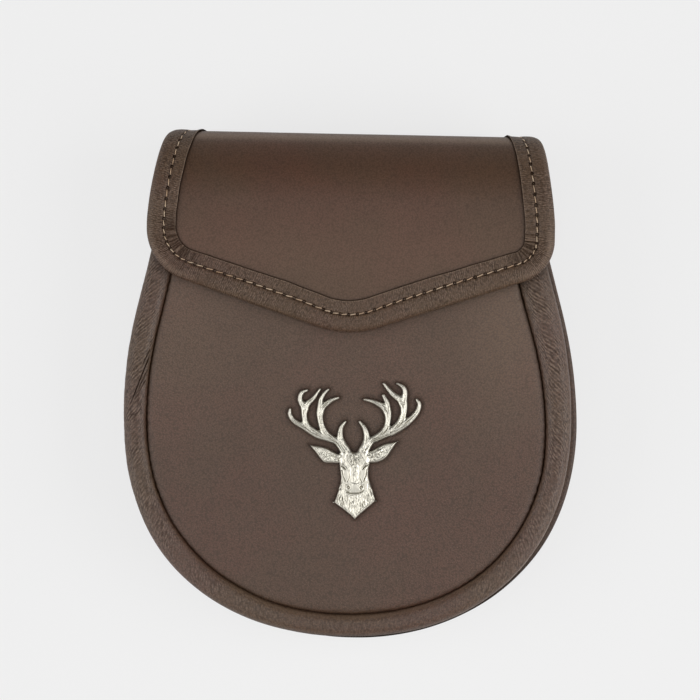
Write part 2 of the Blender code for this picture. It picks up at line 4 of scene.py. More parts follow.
import bmesh
import bpy
import numpy as np
from mathutils import Matrix, Vector, noise
from mathutils.kdtree import KDTree


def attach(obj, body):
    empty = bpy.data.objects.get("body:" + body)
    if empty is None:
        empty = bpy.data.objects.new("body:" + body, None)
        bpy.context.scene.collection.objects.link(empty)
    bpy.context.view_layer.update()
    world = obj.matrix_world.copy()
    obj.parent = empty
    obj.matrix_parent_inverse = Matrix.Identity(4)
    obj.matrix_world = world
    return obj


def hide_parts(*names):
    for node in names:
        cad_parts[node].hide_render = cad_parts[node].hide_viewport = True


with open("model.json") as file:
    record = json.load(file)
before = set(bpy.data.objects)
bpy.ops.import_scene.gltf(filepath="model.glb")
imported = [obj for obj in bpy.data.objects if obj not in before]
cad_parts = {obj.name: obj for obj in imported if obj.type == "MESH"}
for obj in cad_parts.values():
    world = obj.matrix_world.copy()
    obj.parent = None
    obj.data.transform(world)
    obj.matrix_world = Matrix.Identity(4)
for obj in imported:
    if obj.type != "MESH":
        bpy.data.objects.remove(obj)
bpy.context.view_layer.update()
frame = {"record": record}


# --- Where the pouch lies ----------------------------------------------------------------
# The pouch lies on its back, tipped a little by its belt loop. It is drawn in its own frame, in
# millimetres: x to its right, y towards its top, and z out of its front from the back panel's
# outer face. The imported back_face mount says how that frame lies in the model's.

MM = 0.001  # in metres
BACK_FACE_Y = -40.0  # the mount's place on the pouch

back_face = next(m for m in frame["record"]["mounts"] if m["name"] == "back_face")
tipped = Matrix.Rotation(math.asin(back_face["axis"][1]), 4, "X")
pouch_origin = Vector(back_face["pos_m"]) - tipped @ Vector((0, BACK_FACE_Y * MM, 0))
laid = Matrix.Translation(pouch_origin) @ tipped @ Matrix.Scale(MM, 4)


# --- Back panel --------------------------------------------------------------------------
# The flat back that everything is sewn to: firm dark brown leather, 3 mm thick, cut to the
# pouch's outline and a little beyond. Its cut edge is dyed, rubbed round and polished.

HALF_WIDTH, WIDEST_Y, BOTTOM_Y, MOUTH_Y = 94.1, -13.2, -106.1, 82.0
BOTTOM_FULLNESS = 2.25
SIDE_RADIUS, SIDE_LEAN = 182.0, math.radians(14.0)
MIDDLE_Y = -6.9  # bearings are taken from here, in degrees clockwise from the right
# By bearing: how far the pouch's edge is drawn in at its lower left, how far the back stands out
# past that edge, and how dark its own cut edge is, burnished and with painted shade, darkest
# along the bottom.
DRAWN_IN = [(94, 0.0), (102, 0.4), (118, 0.6), (130, 0.3), (142, 0.0)]
BACK_OVERHANG = [(-18, 1.8), (-2, 2.3), (8, 2.8), (38, 2.75), (46, 2.4), (62, 2.4), (74, 2.9),
                 (86, 3.3), (95, 3.0), (104, 2.3), (118, 2.0), (170, 2.4)]
BACK_EDGE_BURNISH_AND_SHADE = [(-20, 0.1), (20, 0.12), (50, 0.7), (90, 1.0), (120, 0.9), (170, 0.5)]
BACK_POLISH_WIDTH = 1.6
BACK_THICKNESS = 3.0
BACK_CORNER_WIDTH, BACK_CORNER_RISE = 9.0, 2.0
BACK_EDGE_ROUND = 1.3
BACK_RINGS = [90.0, 70.0, 50.0, 32.0, 18.0, 9.0, 4.0, 2.4]  # insets of rings on its flat faces


def piece(name, points, faces, look, smooth_below=45.0):
    """A named mesh from points in the pouch's frame, in its finish, riding on the pouch."""
    mesh = bpy.data.meshes.new(name)
    mesh.from_pydata(np.asarray(points, float).tolist(), [], faces)
    mesh.transform(laid)
    shape = bmesh.new()
    shape.from_mesh(mesh)
    bmesh.ops.recalc_face_normals(shape, faces=shape.faces[:])
    if shape.calc_volume(signed=True) < 0:
        bmesh.ops.reverse_faces(shape, faces=shape.faces[:])
    shape.to_mesh(mesh)
    shape.free()
    mesh.shade_smooth()
    mesh.set_sharp_from_angle(angle=math.radians(smooth_below))
    mesh.materials.append(look.material)
    made = bpy.data.objects.new(name, mesh)
    bpy.context.scene.collection.objects.link(made)
    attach(made, "root")
    return made


def paint(made, name, values):
    """Keep a number for each point of a piece, for its material to read."""
    layer = made.data.attributes.new(name, "FLOAT", "POINT")
    layer.data.foreach_set("value", np.asarray(values, np.float32).ravel())


def net(rows, columns, columns_close=False, first=0):
    """Faces between the neighbours of a grid of points, numbered row by row."""
    last = columns if columns_close else columns - 1
    r, c = np.meshgrid(np.arange(rows - 1), np.arange(last), indexing="ij")
    here = (first + r * columns + c).ravel()
    right = (first + r * columns + (c + 1) % columns).ravel()
    return np.stack([here, right, right + columns, here + columns], 1).tolist()


class Wire:
    """A socket's value in a material being written: a sum on it adds Math nodes."""

    def __init__(self, nodes, socket):
        self.nodes, self.socket = nodes, socket

    def maths(self, operation, *values):
        sockets = dict(enumerate(values))
        return self.nodes.node("ShaderNodeMath", {"operation": operation}, sockets)

    def __add__(self, other):
        return self.maths("ADD", self, other)

    def __sub__(self, other):
        return self.maths("SUBTRACT", self, other)

    def __rsub__(self, other):
        return self.maths("SUBTRACT", other, self)

    def __mul__(self, other):
        return self.maths("MULTIPLY", self, other)

    def __pow__(self, other):
        return self.maths("POWER", self, other)

    __radd__, __rmul__ = __add__, __mul__

    def fraction(self):
        return self.maths("FRACT", self)

    def absolute(self):
        return self.maths("ABSOLUTE", self)

    def ramp(self, low, high):
        """0 where the value is low or less, 1 where it is high or more, smooth between."""
        return self.nodes.node("ShaderNodeMapRange", {"interpolation_type": "SMOOTHSTEP"},
                               {"Value": self, "From Min": low, "From Max": high})


class Nodes:
    """A node tree in the making."""

    def __init__(self, tree):
        self.tree = tree

    def node(self, kind, settings=None, sockets=None, output=0):
        """Any node: its settings first, then its sockets' values or links."""
        made = self.tree.nodes.new(kind)
        for setting, value in (settings or {}).items():
            setattr(made, setting, value)
        for socket, value in (sockets or {}).items():
            if isinstance(value, Wire):
                self.tree.links.new(value.socket, made.inputs[socket])
            else:
                made.inputs[socket].default_value = value
        return Wire(self, made.outputs[output])


class Look(Nodes):
    """A Principled material in the making."""

    def __init__(self, name, **fixed):
        self.material = bpy.data.materials.new(name)
        self.material.use_nodes = True
        super().__init__(self.material.node_tree)
        self.shader = self.tree.nodes["Principled BSDF"]
        for socket, value in fixed.items():
            self.shader.inputs[socket.replace("_", " ")].default_value = value

    def feed(self, socket, wire):
        self.tree.links.new(wire.socket, self.shader.inputs[socket])

    def place(self):
        """Where on the piece, in metres."""
        return self.node("ShaderNodeTexCoord", output="Object")

    def painted(self, name):
        return self.node("ShaderNodeAttribute", {"attribute_name": name}, output="Fac")

    def clouds(self, place, size_mm, detail=3.0, roughness=0.5):
        """Noise from 0 to 1 with lumps of a size in millimetres."""
        return self.node("ShaderNodeTexNoise", None,
                         {"Vector": place, "Scale": 1000 / size_mm, "Detail": detail,
                          "Roughness": roughness})

    def cells(self, place, size_mm, dimensions="3D"):
        """Distance into irregular cells of a size in millimetres."""
        return self.node("ShaderNodeTexVoronoi", {"voronoi_dimensions": dimensions},
                         {"Vector": place, "Scale": 1000 / size_mm})

    def mixed(self, share, first, second):
        """Two colours mixed by a share."""
        return self.node("ShaderNodeMix", {"data_type": "RGBA"}, {0: share, 6: first, 7: second},
                         output=2)

    def bumped(self, height, depth_mm):
        return self.node("ShaderNodeBump", None, {"Height": height, "Distance": depth_mm * MM})

    def sunk(self, share, colour):
        """Mix in a dull colour by a share: hollows that light and shine hardly reach."""
        dull = {"Base Color": colour, "Roughness": 1.0, "Specular IOR Level": 0.0}
        surface = {0: share, 1: Wire(self, self.shader.outputs[0]),
                   2: self.node("ShaderNodeBsdfPrincipled", None, dull)}
        mixed = self.node("ShaderNodeMixShader", None, surface)
        self.tree.links.new(mixed.socket, self.tree.nodes["Material Output"].inputs[0])


def rgb(red, green, blue):
    """A colour given as it looks on a screen, 0 to 255, as the linear values nodes take."""
    def linear(value):
        share = value / 255
        return share / 12.92 if share < 0.04045 else ((share + 0.055) / 1.055) ** 2.4
    return (linear(red), linear(green), linear(blue), 1.0)


DYE = rgb(82, 56, 36)  # where the leather is smooth
DYE_DEEP = rgb(52, 34, 20)  # where the dye has gathered
DYE_REDDER = rgb(87, 55, 37)
DYE_SOFT = rgb(88, 63, 39)  # on the thin, soft leather
PALE_FLECK_AND_HIGHLIGHT = rgb(150, 125, 104)  # pale flecks in the grain, and painted highlights and painted light
SHADE_AND_BURNISH_DARK = rgb(34, 24, 17)  # the dark of painted shade in hollows, creases and under other parts, and of burnished cut edges
BURNISHED = rgb(34, 29, 24)  # cut edges
FOLD_WIDTH = 1.25  # of the drawn leather's folds, in widths of its strands
HOLLOW = 4  # depth of a long crease or a needle hole, in depths of the grain
LONG_CREASE_HALF_WIDTH = 0.34
NEEDLE_HOLE = (0.125, 0.165)  # a hole's radius, in stitches, and where it has ended
LIP_SHADOW = (0.1, 0.8)  # how far from the lip its shadow begins to fade and has faded


def leather(name, grain_mm, grain_depth_mm, rough, waxed, marked=(), dye=DYE, speckled=1.0,
            strand_mm=1.0, long_creases=()):
    """Drum-dyed leather: a fine pebbled grain over slow changes of colour and of shine.

    `marked` names what is painted on the piece's points: `crease`, painted shade in its
    creases, puckers and seams, `edge`, a cut edge, `shade`, painted shade and painted shadow,
    a mark of painted light, for painted highlights and places painted paler where light falls,
    `run`, for soft leather drawn round a curve, how far each place is along its wrinkles and
    across them, `holes`, how many stitches along its seam a place is and how many aside from
    it, for painted shade in the needle holes, and `lip`, how far it is from the lip that lies
    over it, for the painted shadow under it. How far a place is off each long crease and
    along it is painted too, for painted shade along it, and `long_creases` says how strong
    each is.
    """
    look = Look(name, Specular_IOR_Level=waxed, IOR=1.5)
    where = look.place()
    slow = look.clouds(where, 46, 2.0)
    patchy = look.clouds(where, 9, 4.0, 0.62)
    pebbles = look.cells(where, grain_mm)
    pores = look.clouds(where, 0.34 * grain_mm, 2.0)
    colour = look.mixed(slow.ramp(0.38, 0.66), dye, DYE_REDDER)
    colour = look.mixed(patchy.ramp(0.35, 0.75) * 0.16, colour, DYE_DEEP)
    valley = pebbles.ramp(0.25, 0.85)
    colour = look.mixed(valley * (0.60 * speckled), colour, DYE_DEEP)
    colour = look.mixed(pores.ramp(0.52, 0.76) * (0.36 * speckled), colour, PALE_FLECK_AND_HIGHLIGHT)
    shine = rough + (patchy - 0.5) * 0.10 + valley * 0.08
    relief = (1 - pebbles) * 0.7 + pores * 0.5
    # Painted shade in the grain's valleys.
    lit = 1 - valley * 0.10
    if "run" in marked:
        run = look.node("ShaderNodeCombineXYZ", None,
                        {0: look.painted("run_x"), 1: look.painted("run_y")})
        sway = look.clouds(run, 6 * strand_mm, 2.0) * 2.2
        folds = (look.painted("run_x") * (1000 / (FOLD_WIDTH * strand_mm)) + sway).fraction() - 0.5
        tight = look.painted("drawn")
        strands = look.cells(run, strand_mm, "2D") * (1 - tight * 0.5) + folds.absolute() * tight
        drawn = (tight * 0.85 + 0.15) * (patchy.ramp(0.38, 0.62) * 0.7 + 0.4)
        # Painted highlight on the wrinkles' tops, and painted shade in the valleys between them.
        colour = look.mixed((1 - strands).ramp(0.55, 0.85) * drawn * 0.5, colour, PALE_FLECK_AND_HIGHLIGHT)
        relief = relief + (1 - strands) * drawn * (2.0 * strand_mm)
        lit = lit * (1 - strands.ramp(0.42, 0.72) * drawn * 0.5)
    # Painted shade in creases and gathers, and wherever shade or shadow is painted.
    if "crease" in marked:
        lit = lit * (1 - look.painted("crease") * 0.55)
    if "shade" in marked:
        lit = lit * (1 - look.painted("shade"))
    # Painted highlights and painted light.
    if "painted_light" in marked:
        colour = look.mixed(look.painted("painted_light"), colour, PALE_FLECK_AND_HIGHLIGHT)
    # Painted shade along each long crease.
    for k, strength in enumerate(long_creases):
        off_line = look.painted(f"long_{k}_away").absolute()
        share = look.painted(f"long_{k}_share")
        line = 1 - off_line.ramp(0.06, LONG_CREASE_HALF_WIDTH)
        line = line * share.ramp(0, 0.15) * (1 - share).ramp(0, 0.3) * strength
        relief = relief - line * HOLLOW
        lit = lit * (1 - line)
    # Painted shade in the needle holes.
    if "holes" in marked:
        along = (look.painted("seam_x") + 0.5).fraction() - 0.5
        aside = look.painted("seam_y")
        hole = 1 - ((along * along + aside * aside) ** 0.5).ramp(*NEEDLE_HOLE)
        relief = relief - hole * HOLLOW
        lit = lit * (1 - hole)
    if "lip" in marked:
        shadow = 1 - look.painted("lip_away").absolute().ramp(*LIP_SHADOW)
        lit = lit * (1 - shadow * 0.7)
    if "edge" in marked:
        edge = look.painted("edge")
        colour = look.mixed(edge, colour, BURNISHED)
        shine = shine + edge * 0.25
        lit = lit * (1 - edge * 0.8)
    look.feed("Base Color", colour)
    look.feed("Roughness", shine)
    look.feed("Normal", look.bumped(relief, grain_depth_mm))
    look.sunk(1 - lit, SHADE_AND_BURNISH_DARK)
    return look


def spaced(path, count):
    """`count` points evenly spaced along a path."""
    steps = np.hypot(*np.diff(path, axis=0).T)
    along = np.concatenate([[0.0], np.cumsum(steps)])
    at = np.linspace(0.0, along[-1], count)
    return np.column_stack([np.interp(at, along, path[:, k]) for k in range(2)])


def inward(path):
    """Unit normals to the left of the way a path runs."""
    way = np.gradient(path, axis=0)
    way /= np.hypot(*way.T)[:, None]
    return np.column_stack([-way[:, 1], way[:, 0]])


def by_bearing(path, table):
    """A value for each point of a path round the pouch, smooth between a table's bearings."""
    bearing = np.degrees(np.arctan2(MIDDLE_Y - path[:, 1], path[:, 0]))
    value = np.interp((bearing + 90) % 360 - 90, *np.transpose(table))
    half = len(path) // 36
    blur = np.hanning(2 * half + 1)
    return np.convolve(np.pad(value, half, "edge"), blur / blur.sum(), "valid")


def pouch_edge(count):
    """The edge roll's outer side, from the mouth's left end round the bottom to its right."""
    share = np.linspace(0.0, 1.0, 500)
    upper_y = MOUTH_Y + (WIDEST_Y - MOUTH_Y) * share[:-1]
    rise = upper_y - WIDEST_Y
    arc_rise = SIDE_RADIUS * math.sin(SIDE_LEAN)
    on_arc = np.minimum(rise, arc_rise)
    upper_x = HALF_WIDTH - SIDE_RADIUS + np.sqrt(SIDE_RADIUS ** 2 - on_arc ** 2)
    upper_x -= (rise - on_arc) * math.tan(SIDE_LEAN)
    turn = 0.5 * math.pi * share
    power = 2 / BOTTOM_FULLNESS
    lower_x = HALF_WIDTH * np.abs(np.cos(turn)) ** power
    lower_y = WIDEST_Y - (WIDEST_Y - BOTTOM_Y) * np.sin(turn) ** power
    right = np.column_stack([np.concatenate([upper_x, lower_x]),
                             np.concatenate([upper_y, lower_y])])
    left = right * (-1, 1)
    path = spaced(np.vstack([left, right[-2::-1]]), count)
    return path + inward(path) * by_bearing(path, DRAWN_IN)[:, None]


def levelled(path, y):
    """A path round the pouch with its two ends run on, or back, to a height."""
    path = path.copy()
    for end, near in ((0, 1), (-1, -2)):
        slope = (path[near, 0] - path[end, 0]) / (path[near, 1] - path[end, 1])
        path[end] = (path[end, 0] + slope * (y - path[end, 1]), y)
    return path


def plated(rings, first_hub, last_hub):
    """Points and faces of a plate: closed rings of points from one hub, out and in again."""
    many, count, _ = np.shape(rings)
    points = np.vstack([*rings, [first_hub, last_hub]])
    faces = net(many, count, columns_close=True)
    for first, hub in ((0, len(points) - 2), ((many - 1) * count, len(points) - 1)):
        faces += [(first + k, first + (k + 1) % count, hub) for k in range(count)]
    return points, faces


def make_back_panel():
    sides = pouch_edge(560)
    overhang = by_bearing(sides, BACK_OVERHANG)[:, None]
    sides = levelled(sides - inward(sides) * overhang, MOUTH_Y)
    turn = np.linspace(0.0, 0.5 * math.pi, 10)
    corner_x = sides[-1, 0] - BACK_CORNER_WIDTH * (1 - np.cos(turn))
    corner = np.column_stack([corner_x, MOUTH_Y + BACK_CORNER_RISE * np.sin(turn)])
    top = np.linspace(corner[-1], corner[-1] * (-1, 1), 60)[1:-1]
    outline = np.vstack([sides[:-1], corner, top, corner[::-1] * (-1, 1)])[:-1]

    # Each ring of points lies at an inset and a z: over one face, round the edge and back.
    outer = [(inset, 0.0) for inset in BACK_RINGS]
    outer += [(BACK_EDGE_ROUND * (1 - math.sin(t)), BACK_EDGE_ROUND * (1 - math.cos(t)))
              for t in np.linspace(0.0, 0.5 * math.pi, 6)]
    inner = [(inset, BACK_THICKNESS - z) for inset, z in reversed(outer)]
    insets, heights = np.transpose(outer + inner)
    centre = np.array((0.0, 0.5 * (MOUTH_Y + BOTTOM_Y)))
    reach = outline - centre
    size = np.hypot(*reach.T)[:, None]
    rings = [np.column_stack([centre + reach * np.maximum(1 - inset / size, 0.01),
                              np.full(len(outline), z)])
             for inset, z in zip(insets, heights)]
    points, faces = plated(rings, (*centre, 0.0), (*centre, BACK_THICKNESS))
    look = leather("back_panel_leather", grain_mm=0.9, grain_depth_mm=0.09, rough=0.47,
                   waxed=0.67, marked=("edge",))
    back = piece("back_panel_sewn", points, faces, look)
    # Its cut edge gets painted shade on top of its burnish, most along the bottom.
    burnish_and_shade = by_bearing(outline, BACK_EDGE_BURNISH_AND_SHADE)
    edge = np.clip(BACK_POLISH_WIDTH - insets[:, None], 0, 1) * burnish_and_shade
    paint(back, "edge", np.append(edge, (0, 0)))
    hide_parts("back_panel")


make_back_panel()


# --- Gusset ------------------------------------------------------------------------------
# The pouch's side wall: one long strip of soft leather, 2 mm thick, sewn to the back panel
# and to the edge roll. It bellies outwards, and gathers where it turns round the bottom.

GUSSET_THICKNESS = 2.0
GUSSET_FOOT_Z, GUSSET_HEAD_Z = 3.2, 24.2
GUSSET_BELLY_U, GUSSET_BELLY_Z = 1.0, 11.5
GUSSET_CURL = 0.0209  # how fast it draws in from its belly, per mm
GUSSET_GATHER = 0.45  # height of its gathers
GUSSET_SLANT = 0.25  # of its gathers, along the pouch's edge per mm of height


def tube_faces(rows, columns, first=0):
    """Faces round a tube of closed sections and over its two ends."""
    last = first + (rows - 1) * columns
    ends = [list(range(first, first + columns)), list(range(last, last + columns))]
    return net(rows, columns, columns_close=True, first=first) + ends


def tube(sections):
    """Points and faces of a body through equal closed sections, its two ends capped."""
    rows, columns, _ = sections.shape
    return sections.reshape(-1, 3), tube_faces(rows, columns)


def wander(places, size, seed=0.0):
    """Smooth noise from -1 to 1 at each place, its lumps about `size` across."""
    flat = np.asarray(places, float).reshape(-1, np.shape(places)[-1]) / size
    if flat.shape[1] == 2:
        flat = np.column_stack([flat, np.zeros(len(flat))])
    flat = flat + (seed, 2.7 * seed, 1.3 * seed)
    values = np.array([noise.noise(Vector(place)) for place in flat])
    return values.reshape(np.shape(places)[:-1])


def paint_run(made, across_wrinkles, along_wrinkles, drawn):
    """Keep how far each point is across its piece's wrinkles and along them, in metres.

    `drawn` is how tightly the leather is drawn there, 0 to 1: the wrinkles' strength.
    """
    runs = np.broadcast_arrays(across_wrinkles, along_wrinkles, drawn)
    for name, scale, run in zip(("run_x", "run_y", "drawn"), (MM, MM, 1), runs):
        paint(made, name, scale * run)


def gridded(*runs):
    """Places on a sheet, from runs that spread over one grid."""
    return np.stack(np.broadcast_arrays(*runs), -1)


def lengthwise(path):
    """How far along a path each of its evenly spaced points is, as a column."""
    length = np.hypot(*np.diff(path, axis=0).T).sum()
    return np.linspace(0.0, length, len(path))[:, None]


def swept(path, u, z):
    """Points `u` in from a path round the pouch, at a height z, cut off level at the mouth."""
    points = path[:, None, :] + inward(path)[:, None, :] * u[..., None]
    points = np.concatenate([points, z[..., None]], -1)
    points[[0, -1], :, 1] = MOUTH_Y
    return points


def bending(path, reach):
    """How sharply a path bends at each point, 1 at its sharpest, smoothed over `reach` rows."""
    way = np.unwrap(np.arctan2(*np.gradient(path, axis=0).T[::-1]))
    bend = np.abs(np.gradient(way))
    bend = np.convolve(bend, np.hanning(reach) / np.hanning(reach).sum(), mode="same")
    return bend / bend.max()


def make_gusset():
    path = pouch_edge(760)
    along = lengthwise(path)
    z = np.linspace(GUSSET_FOOT_Z, GUSSET_HEAD_Z, 30)[None, :]
    u = GUSSET_BELLY_U + GUSSET_CURL * (z - GUSSET_BELLY_Z) ** 2
    held = np.sin(math.pi * (z - GUSSET_FOOT_Z) / (GUSSET_HEAD_Z - GUSSET_FOOT_Z)) ** 0.6
    spread = gridded(along + GUSSET_SLANT * z, 0.16 * z)
    gathers = wander(spread, 5.5, 3.0)
    fine = wander(spread, 1.9, 8.0)
    strength = 0.35 + 0.65 * bending(path, 90)[:, None]
    lift = GUSSET_GATHER * strength * held * (gathers + 0.35 * fine)
    inner_u = u[:, ::-5] + GUSSET_THICKNESS + 0 * along
    all_u = np.hstack([u - lift, inner_u])
    all_z = np.hstack([z, z[:, ::-5]]) + 0 * along
    look = leather("gusset_leather", grain_mm=0.8, grain_depth_mm=0.12, rough=0.5, waxed=0.6,
                   marked=("crease", "run"), dye=DYE_SOFT, strand_mm=0.9)
    gusset = piece("gusset_sewn", *tube(swept(path, all_u, all_z)), look, 60)
    # Painted shade in the gathers' valleys.
    crease = np.clip(-gathers - 0.15, 0, 0.6) * strength * held
    paint(gusset, "crease", np.hstack([crease, np.zeros(inner_u.shape)]))
    paint_run(gusset, along + GUSSET_SLANT * all_z, 0.42 * all_z, 0.4)
    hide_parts("gusset")


make_gusset()


# --- Edge roll ---------------------------------------------------------------------------
# The padded roll that edges the front: thin soft leather pulled over a cord of filling and
# sewn in beside the front panel. Pulled round the curve, it creases slantwise all along.

ROLL_HEIGHT, ROLL_BOTTOM_Z = 12.0, 24.0
ROLL_FULLNESS = 2.8
ROLL_END_SHARE, ROLL_TAPER_Y = 0.75, 50.0
ROLL_CREASE_DEPTH, ROLL_CREASE_LEAN = 0.15, 1.75
ROLL_LUMP = 0.14  # how uneven its filling is
# By bearing: how wide the roll is, how much painted shade lies low on its flank, in the groove
# and all over, where painted highlights run along its two edges (0) or not (1), and how much
# painted light lies by the groove.
ROLL_WIDTH = [(-26, 13.6), (-18, 13.1), (-10, 12.3), (-2, 11.5), (8, 10.9), (20, 10.2),
              (60, 10.4), (74, 10.1), (90, 9.7), (104, 9.9), (112, 10.3), (120, 11.0),
              (136, 11.4), (150, 10.8), (164, 10.2), (178, 10.3), (190, 10.7), (200, 11.1)]
ROLL_FLANK_SHADE = [(40, 0.0), (72, 0.3), (90, 0.6), (108, 0.3), (140, 0.0)]
ROLL_GROOVE_SHADE = [(40, 0.3), (70, 0.1), (110, 0.1), (140, 0.25)]
ROLL_OVERALL_SHADE = [(40, 0.0), (75, 0.07), (105, 0.07), (140, 0.04), (200, 0.04)]
ROLL_NO_EDGE_LIGHT = [(-20, 1), (0, 0.7), (40, 0), (72, 0), (86, 1), (200, 1)]
ROLL_GROOVE_LIGHT = [(45, 0.0), (75, 0.24), (105, 0.24), (140, 0.0)]
# Single long creases on the left side: from, to, and how strong.
LONG_CREASES = [((-82.1, 13.0), (-91.4, -10.6), 1.0), ((-82.2, 15.0), (-86.0, 6.8), 0.7),
                ((-83.2, 6.5), (-88.5, -5.2), 0.6), ((-83.9, 2.3), (-90.0, -9.2), 0.4)]
OFF_TOP = 9.0  # taken from a place's share of a long crease where it isn't on the roll's top


def roll_share(y):
    """How much of the roll's height is left at a height on the pouch: it thins at the mouth."""
    up = np.clip((y - ROLL_TAPER_Y) / (MOUTH_Y - ROLL_TAPER_Y), 0, 1)
    return 1 - (1 - ROLL_END_SHARE) * up ** 2


def rounded(turn, fullness):
    """Round an oval that is an ellipse at a fullness of 2 and squarer above it."""
    power = 2 / fullness
    across, up = np.cos(turn), np.sin(turn)
    return np.sign(across) * np.abs(across) ** power, np.sign(up) * np.abs(up) ** power


def bell(off, width):
    """1 where `off` is nothing, dying away on both sides over a width."""
    return np.exp(-(off / width) ** 2)


def creases(places, size, sharp=3.0, seed=0.0):
    """Thin valleys, 1 along their floors and 0 between them."""
    return np.clip(1 - sharp * np.abs(wander(places, size, seed)), 0, 1) ** 1.5


def make_edge_roll():
    path = pouch_edge(1420)
    along = lengthwise(path)
    step = along[-1, 0] / len(path)
    # The seams lie low on both sides, so the top carries most of the points.
    turn = np.linspace(-0.5 * math.pi, 1.5 * math.pi, 56, endpoint=False)[None, :]
    turn = turn - 0.35 * np.cos(turn)
    round_u, round_z = rounded(turn, ROLL_FULLNESS)
    width = by_bearing(path, ROLL_WIDTH)[:, None]
    across = 0.5 * width * turn

    # The creases lean most up the sides, to the left and to the right, and least at the bottom.
    round_pouch = np.cos(math.pi * along / along[-1, 0])
    upper = np.abs(round_pouch)
    lean = ROLL_CREASE_LEAN * np.sign(round_pouch) * upper ** 0.6
    slope = np.sqrt(1 + lean ** 2)
    slanted = np.cumsum(step / slope, axis=0) + lean / slope * across
    spread = gridded(slanted, 0.2 * across * slope)
    fine = creases(spread, 1.2, 3.0, 2.0)
    broad = creases(spread, 3.2, 2.2, 11.0)
    where = gridded(along, 0.4 * across)
    worked = np.clip(0.55 + 0.9 * wander(where, 26, 5.0), 0.12, 1) * (0.35 + 0.65 * upper ** 0.7)
    depth = ROLL_CREASE_DEPTH * (worked * fine + 0.8 * worked ** 2 * broad)
    depth = depth - ROLL_LUMP * wander(where, 17, 31.0)

    half_height = 0.5 * ROLL_HEIGHT * roll_share(path[:, 1])[:, None]
    u = 0.5 * width - (0.5 * width - depth) * round_u
    z = ROLL_BOTTOM_Z + half_height + (half_height - depth) * round_z
    points = swept(path, u, z)
    look = leather("edge_roll_leather", grain_mm=0.75, grain_depth_mm=0.16, rough=0.46,
                   waxed=0.85, marked=("crease", "run", "shade", "painted_light"), dye=DYE_SOFT,
                   strand_mm=0.8, long_creases=[strength for _, _, strength in LONG_CREASES])
    roll = piece("edge_roll_padded", *tube(points), look, 75)
    # Painted shade in the creases.
    paint(roll, "crease", np.clip(worked * (0.3 * fine + 0.12 * broad), 0, 1))
    tight = 0.1 + 0.9 * upper ** 1.3
    tight = tight * (0.45 + 0.55 * np.sin(math.pi * np.clip(u / width, 0, 1)))
    paint_run(roll, slanted, 0.42 * across * slope, tight)
    paint_shade_and_light(roll, path, u, width - u, round_z > 0)
    # How far each point is along and off each long crease, for painted shade along it.
    for k, (start, end, _) in enumerate(LONG_CREASES):
        way = np.subtract(end, start)
        reach = points[..., :2] - start
        paint(roll, f"long_{k}_share", reach @ way / (way @ way) - OFF_TOP * (round_z <= 0))
        paint(roll, f"long_{k}_away", reach @ (-way[1], way[0]) / np.hypot(*way))
    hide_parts("edge_roll")


def paint_shade_and_light(roll, path, from_flank, from_groove, top):
    """Paint shade on the roll low on its flank, in the groove and a little all over, and painted
    highlights along its edges and painted light by the groove.
    """
    flank, groove, dull, no_edge_light, pale = [
        by_bearing(path, table)[:, None]
        for table in (ROLL_FLANK_SHADE, ROLL_GROOVE_SHADE, ROLL_OVERALL_SHADE, ROLL_NO_EDGE_LIGHT, ROLL_GROOVE_LIGHT)]
    shade = np.maximum(groove * top * bell(from_groove, 0.8), flank * bell(from_flank, 1.1))
    paint(roll, "shade", np.maximum(shade, dull))
    lines = 0.35 * bell(from_groove - 0.9, 0.3) + 0.45 * bell(from_flank, 0.3)
    painted_light = np.maximum(bell(no_edge_light, 0.4) * lines, pale * bell(from_groove - 1.3, 0.9))
    paint(roll, "painted_light", top * painted_light)


make_edge_roll()


# --- Front panel -------------------------------------------------------------------------
# The smooth front: firm leather, 2.2 mm thick, wetted and crowned over a form. Its edge is
# turned down beside the roll, and the seam between the two is the dark groove.

PANEL_THICKNESS, PANEL_EDGE_Z, PANEL_CROWN, PANEL_CENTRE_Y = 2.2, 34.5, 1.5, -10.0
PANEL_GAP = -0.05  # to the roll, whose soft side gives way a little
PANEL_SINK, PANEL_HUB_SINK = 0.06, 0.05  # so that its swellings stand little over the crown
# Its turned edge, from the groove in: how far in, and how far below the crown.
PANEL_EDGE = [(0.0, 2.2), (0.0, 0.95), (0.15, 0.72), (0.45, 0.48), (0.9, 0.28), (1.5, 0.13),
              (2.4, 0.03), (3.4, 0.0)]
PANEL_RINGS = 100  # within its turned edge
PANEL_UNDER_RINGS = [-1, -21, 0]  # the rings of its face that its underside repeats
# How dark its turned edge and cut edge are: burnish, with painted shade down into the groove.
PANEL_EDGE_BURNISH_AND_SHADE = 0.15
PANEL_LIT, PANEL_LIT_LEFT, PANEL_LIT_RIGHT = 0.07, 0.06, 0.13  # painted light: how pale, and more by the sides
# By bearing: how much painted shade lies in the groove beside the roll.
PANEL_GROOVE_SHADE = [(-20, 0.5), (30, 0.5), (65, 0.26), (115, 0.26), (150, 0.36), (200, 0.34)]
GROOVE_PULL = 0.2  # how far each stitch of the seam draws the panel's edge in
GROOVE_PITCH = 4.6  # of that seam's stitches


def panel_z(share):
    """The panel's outer face, by the share of the way out from its centre."""
    return PANEL_EDGE_Z + PANEL_CROWN * (1 - share ** 4)


def eased(share):
    """0 to 1 with a level start and a level end."""
    share = np.clip(share, 0, 1)
    return share * share * (3 - 2 * share)


def panel_outline():
    """The panel's edge, drawn in a little at each stitch of its seam, and its straight top."""
    path = pouch_edge(480)
    along = lengthwise(path)[:, 0]
    spot = gridded(along, 0.0)
    pull = GROOVE_PULL * np.cos(2 * math.pi * along / GROOVE_PITCH + 2 * wander(spot, 9, 1.0))
    pull = pull * (0.5 + wander(spot, 22, 6.0)) + 0.12 * wander(spot, 12, 4.0)
    inset = by_bearing(path, ROLL_WIDTH) + PANEL_GAP + pull
    sides = levelled(path + inward(path) * inset[:, None], MOUTH_Y)
    top = np.linspace(sides[-1], sides[0], 100)[1:-1]
    return np.vstack([sides, top])


